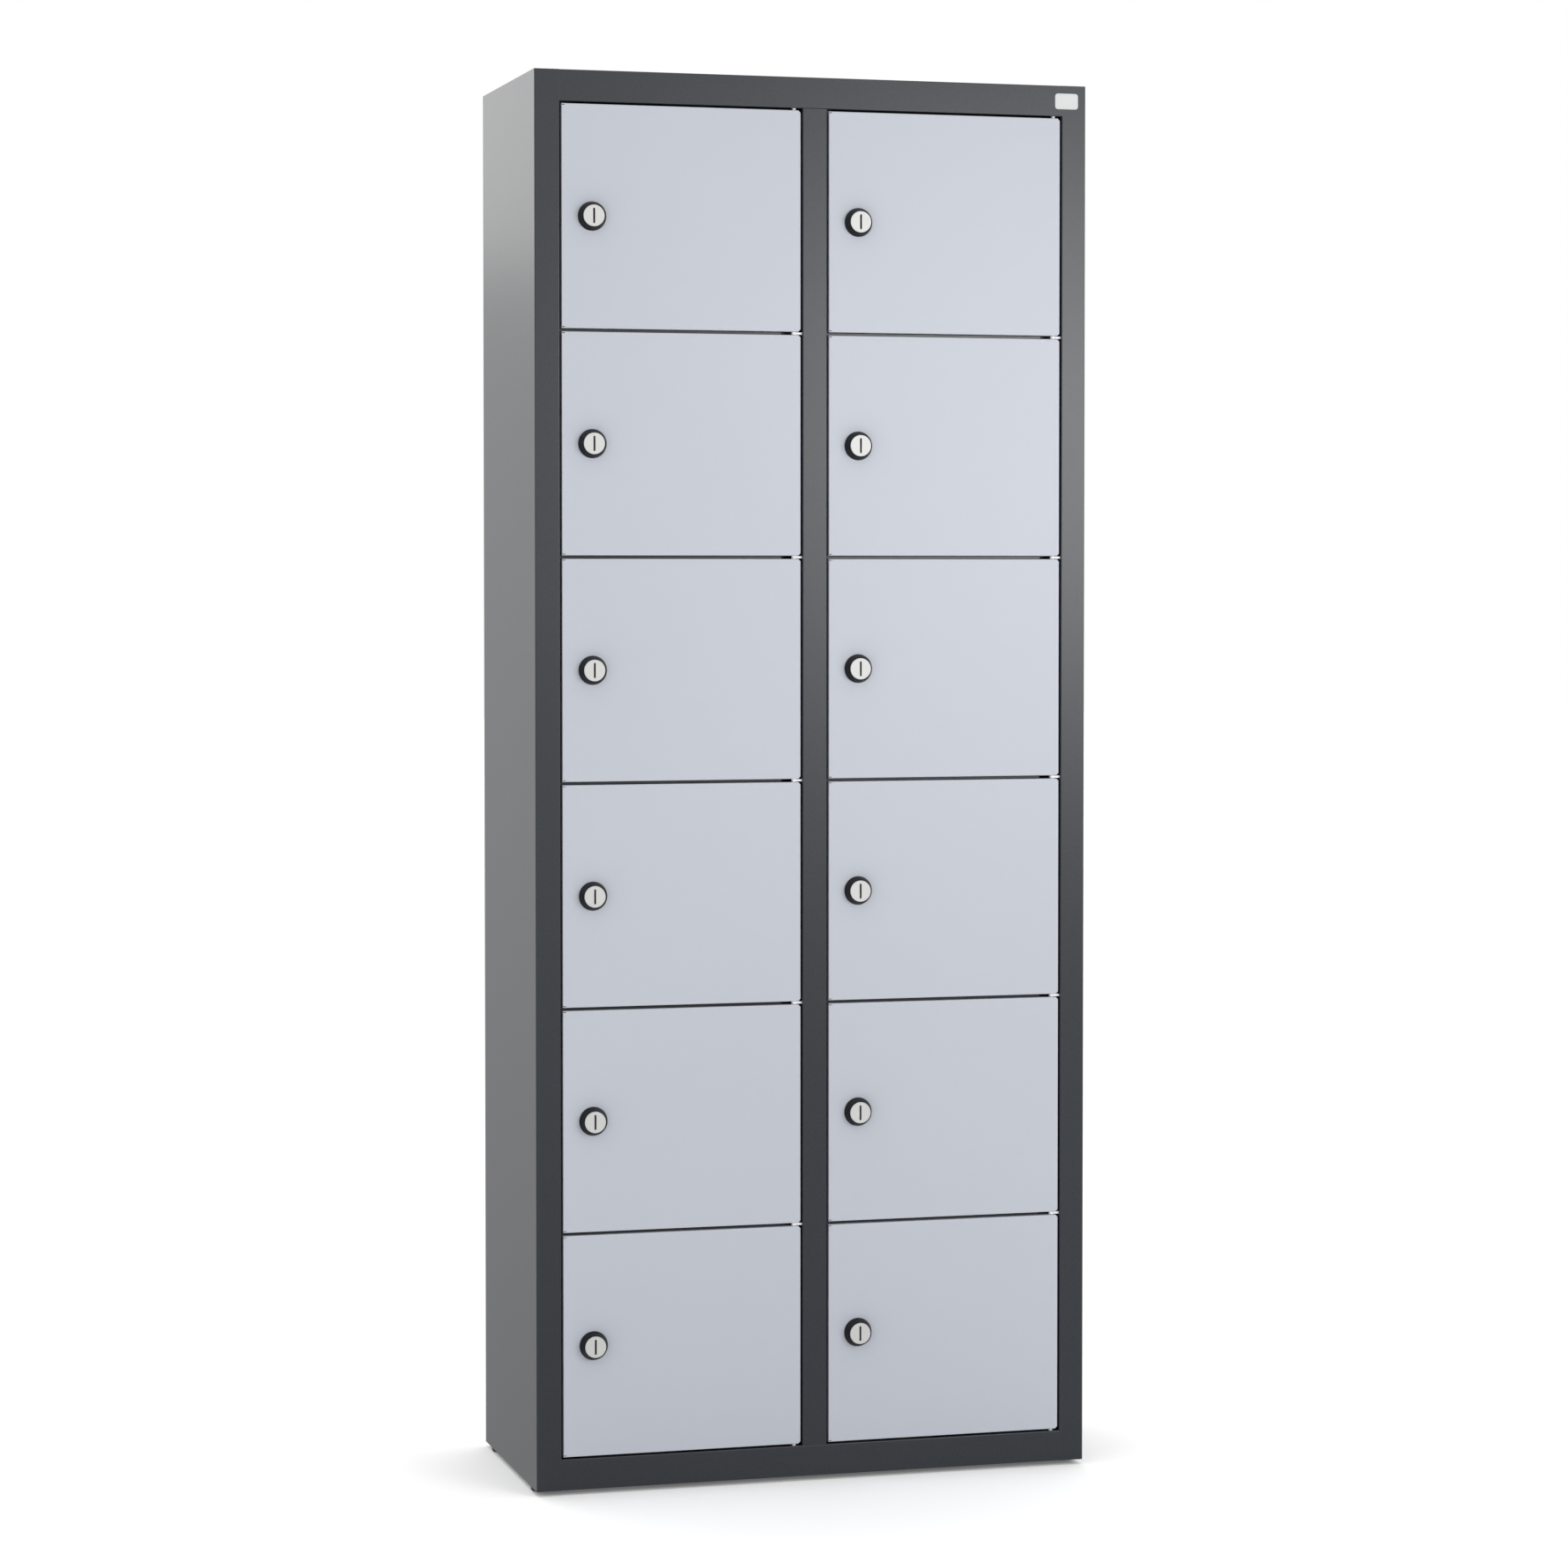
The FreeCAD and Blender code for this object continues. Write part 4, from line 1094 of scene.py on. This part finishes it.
class LOCKER_OT_name_plate(bpy.types.Operator):
    """Model the blank plate at the frame's upper right corner"""

    bl_idname = "locker.name_plate"
    bl_label = "Name Plate"

    def execute(self, context):
        sizes = context.scene.locker_small
        low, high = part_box("name_plate")
        centre = (low + high) / 2
        half_x, half_z = (high.x - low.x) / 2, (high.z - low.z) / 2
        corner = sizes.plate_corner
        points = []
        for across, up, first in ((1, 1, 0), (-1, 1, 90), (-1, -1, 180), (1, -1, 270)):
            x, z = across * (half_x - corner), up * (half_z - corner)
            points += arc(centre.x + x, centre.z + z, corner, first, sweep=90)
        plate = prism("blank_plate", points + points[:1], (0, 1, 0), low.y, high.y)
        self.sink_face(plate, low.y, sizes)
        soften(plate, 0.2 * MILLIMETRE)
        smooth(plate)
        paint(plate, plate_finish())
        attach(plate, CABINET)
        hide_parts("name_plate")
        return {"FINISHED"}

    def sink_face(self, plate, front, sizes):
        """Inset the front face and sink it a little inside its rim."""
        pick(plate)
        bpy.ops.object.mode_set(mode="EDIT")
        bpy.ops.mesh.select_all(action="DESELECT")
        bpy.ops.object.mode_set(mode="OBJECT")
        for face in plate.data.polygons:
            face.select = face.normal.y < -0.9 and abs(face.center.y - front) < 1e-6
        bpy.ops.object.mode_set(mode="EDIT")
        bpy.ops.mesh.select_mode(type="FACE")
        bpy.ops.mesh.inset(thickness=sizes.plate_rim, depth=0)
        bpy.ops.mesh.inset(thickness=sizes.plate_sink, depth=-sizes.plate_sink)
        bpy.ops.object.mode_set(mode="OBJECT")


class LOCKER_OT_stage(bpy.types.Operator):
    """Set up the floor, the studio light and the camera"""

    bl_idname = "locker.stage"
    bl_label = "Stage"

    def execute(self, context):
        settings = context.scene.locker_stage
        context.scene.view_settings.view_transform = "Standard"
        self.floor(settings)
        self.world(settings)
        for name, place, aim, size, setting in SOFT_BOXES:
            self.box(name, place, aim, size, getattr(settings, setting))
        data = bpy.data.cameras.new("camera")
        data.lens = settings.lens
        data.shift_y = settings.shift
        camera = bpy.data.objects.new("camera", data)
        camera.location = settings.camera_place
        camera.rotation_euler = (math.pi / 2 - settings.camera_tilt, 0, -settings.camera_turn)
        context.scene.collection.objects.link(camera)
        context.scene.camera = camera
        return {"FINISHED"}

    def floor(self, settings):
        """A wide pale floor."""
        bpy.ops.object.select_all(action="DESELECT")
        bpy.ops.mesh.primitive_plane_add(size=FLOOR_SIZE, location=(0, 0, 0))
        floor = bpy.context.object
        floor.name = "studio_floor"
        floor.visible_glossy = False
        material, shader = new_material("Studio Floor")
        shader.inputs["Base Color"].default_value = (*colours().floor, 1)
        shader.inputs["Roughness"].default_value = 0.9
        shader.inputs["Specular IOR Level"].default_value = 0.1
        shader.inputs["Emission Color"].default_value = (1, 1, 1, 1)
        shader.inputs["Emission Strength"].default_value = settings.glow
        paint(floor, material)

    def world(self, settings):
        """White behind the locker, and softer light around it, from dark below to bright above."""
        world = bpy.data.worlds.new("studio")
        world.use_nodes = True
        tree = world.node_tree
        around = tree.nodes["Background"]
        around.inputs["Color"].default_value = (1, 1, 1, 1)
        behind = add_node(tree, "ShaderNodeBackground", (0, -200))
        behind.inputs["Color"].default_value = (1, 1, 1, 1)
        seen = add_node(tree, "ShaderNodeLightPath", (0, 400))
        mixed = add_node(tree, "ShaderNodeMixShader", (300, 0))
        place = add_node(tree, "ShaderNodeTexCoord", (-800, 0))
        parts = add_node(tree, "ShaderNodeSeparateXYZ", (-600, 0))
        tree.links.new(place.outputs["Generated"], parts.inputs["Vector"])
        low, level, high = settings.low, settings.level, settings.high
        height = parts.outputs["Z"]
        lower = ranged(tree, (-400, 100), height, *LOW_SKY, low, level)
        upper = ranged(tree, (-400, -200), height, *HIGH_SKY, 0.0, high - level)
        most = 1.0 + settings.back
        back = ranged(tree, (-400, -500), parts.outputs["Y"], *REAR_SKY, 1.0, most)
        total = calculation(tree, (-200, 0), "ADD", lower, upper)
        whole = calculation(tree, (-200, -300), "MULTIPLY", total, back)
        link = tree.links.new
        link(whole, around.inputs["Strength"])
        link(seen.outputs["Is Camera Ray"], mixed.inputs[0])
        link(around.outputs["Background"], mixed.inputs[1])
        link(behind.outputs["Background"], mixed.inputs[2])
        link(mixed.outputs["Shader"], tree.nodes["World Output"].inputs["Surface"])
        bpy.context.scene.world = world

    def box(self, name, place, aim, size, radiance):
        """A soft box that the camera doesn't see."""
        data = bpy.data.lights.new(name, "AREA")
        data.shape = "RECTANGLE"
        data.size, data.size_y = size
        data.energy = radiance * math.pi * data.size * data.size_y
        lamp = bpy.data.objects.new(name, data)
        lamp.location = place
        lamp.rotation_euler = (Vector(aim) - Vector(place)).to_track_quat("-Z", "Y").to_euler()
        lamp.visible_camera = False
        bpy.context.scene.collection.objects.link(lamp)


class LOCKER_PT_panel(bpy.types.Panel):
    """Buttons for each group of pieces"""

    bl_label = "Parcel Locker"
    bl_idname = "LOCKER_PT_panel"
    bl_space_type = "VIEW_3D"
    bl_region_type = "UI"
    bl_category = "Locker"

    def draw(self, context):
        for operator in OPERATORS:
            self.layout.operator(operator.bl_idname)


SETTINGS = {
    "locker_locks": LockSizes,
    "locker_hinges": HingeSizes,
    "locker_feet": FootSizes,
    "locker_small": SmallSizes,
    "locker_colours": FinishColours,
    "locker_stage": StageSettings,
}
OPERATORS = (
    LOCKER_OT_sheet_metal,
    LOCKER_OT_lock_housings,
    LOCKER_OT_lock_cylinders,
    LOCKER_OT_hinges,
    LOCKER_OT_feet,
    LOCKER_OT_buffers,
    LOCKER_OT_name_plate,
    LOCKER_OT_stage,
)


def register():
    for item in (*SETTINGS.values(), *OPERATORS, LOCKER_PT_panel):
        bpy.utils.register_class(item)
    for name, group in SETTINGS.items():
        setattr(bpy.types.Scene, name, PointerProperty(type=group))


def unregister():
    for name in SETTINGS:
        delattr(bpy.types.Scene, name)
    for item in reversed((*SETTINGS.values(), *OPERATORS, LOCKER_PT_panel)):
        bpy.utils.unregister_class(item)


def main():
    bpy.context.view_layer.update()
    register()
    bpy.ops.locker.sheet_metal()
    bpy.ops.locker.lock_housings()
    bpy.ops.locker.lock_cylinders()
    bpy.ops.locker.hinges()
    bpy.ops.locker.feet()
    bpy.ops.locker.buffers()
    bpy.ops.locker.name_plate()
    bpy.ops.locker.stage()


if __name__ == "__main__":
    main()
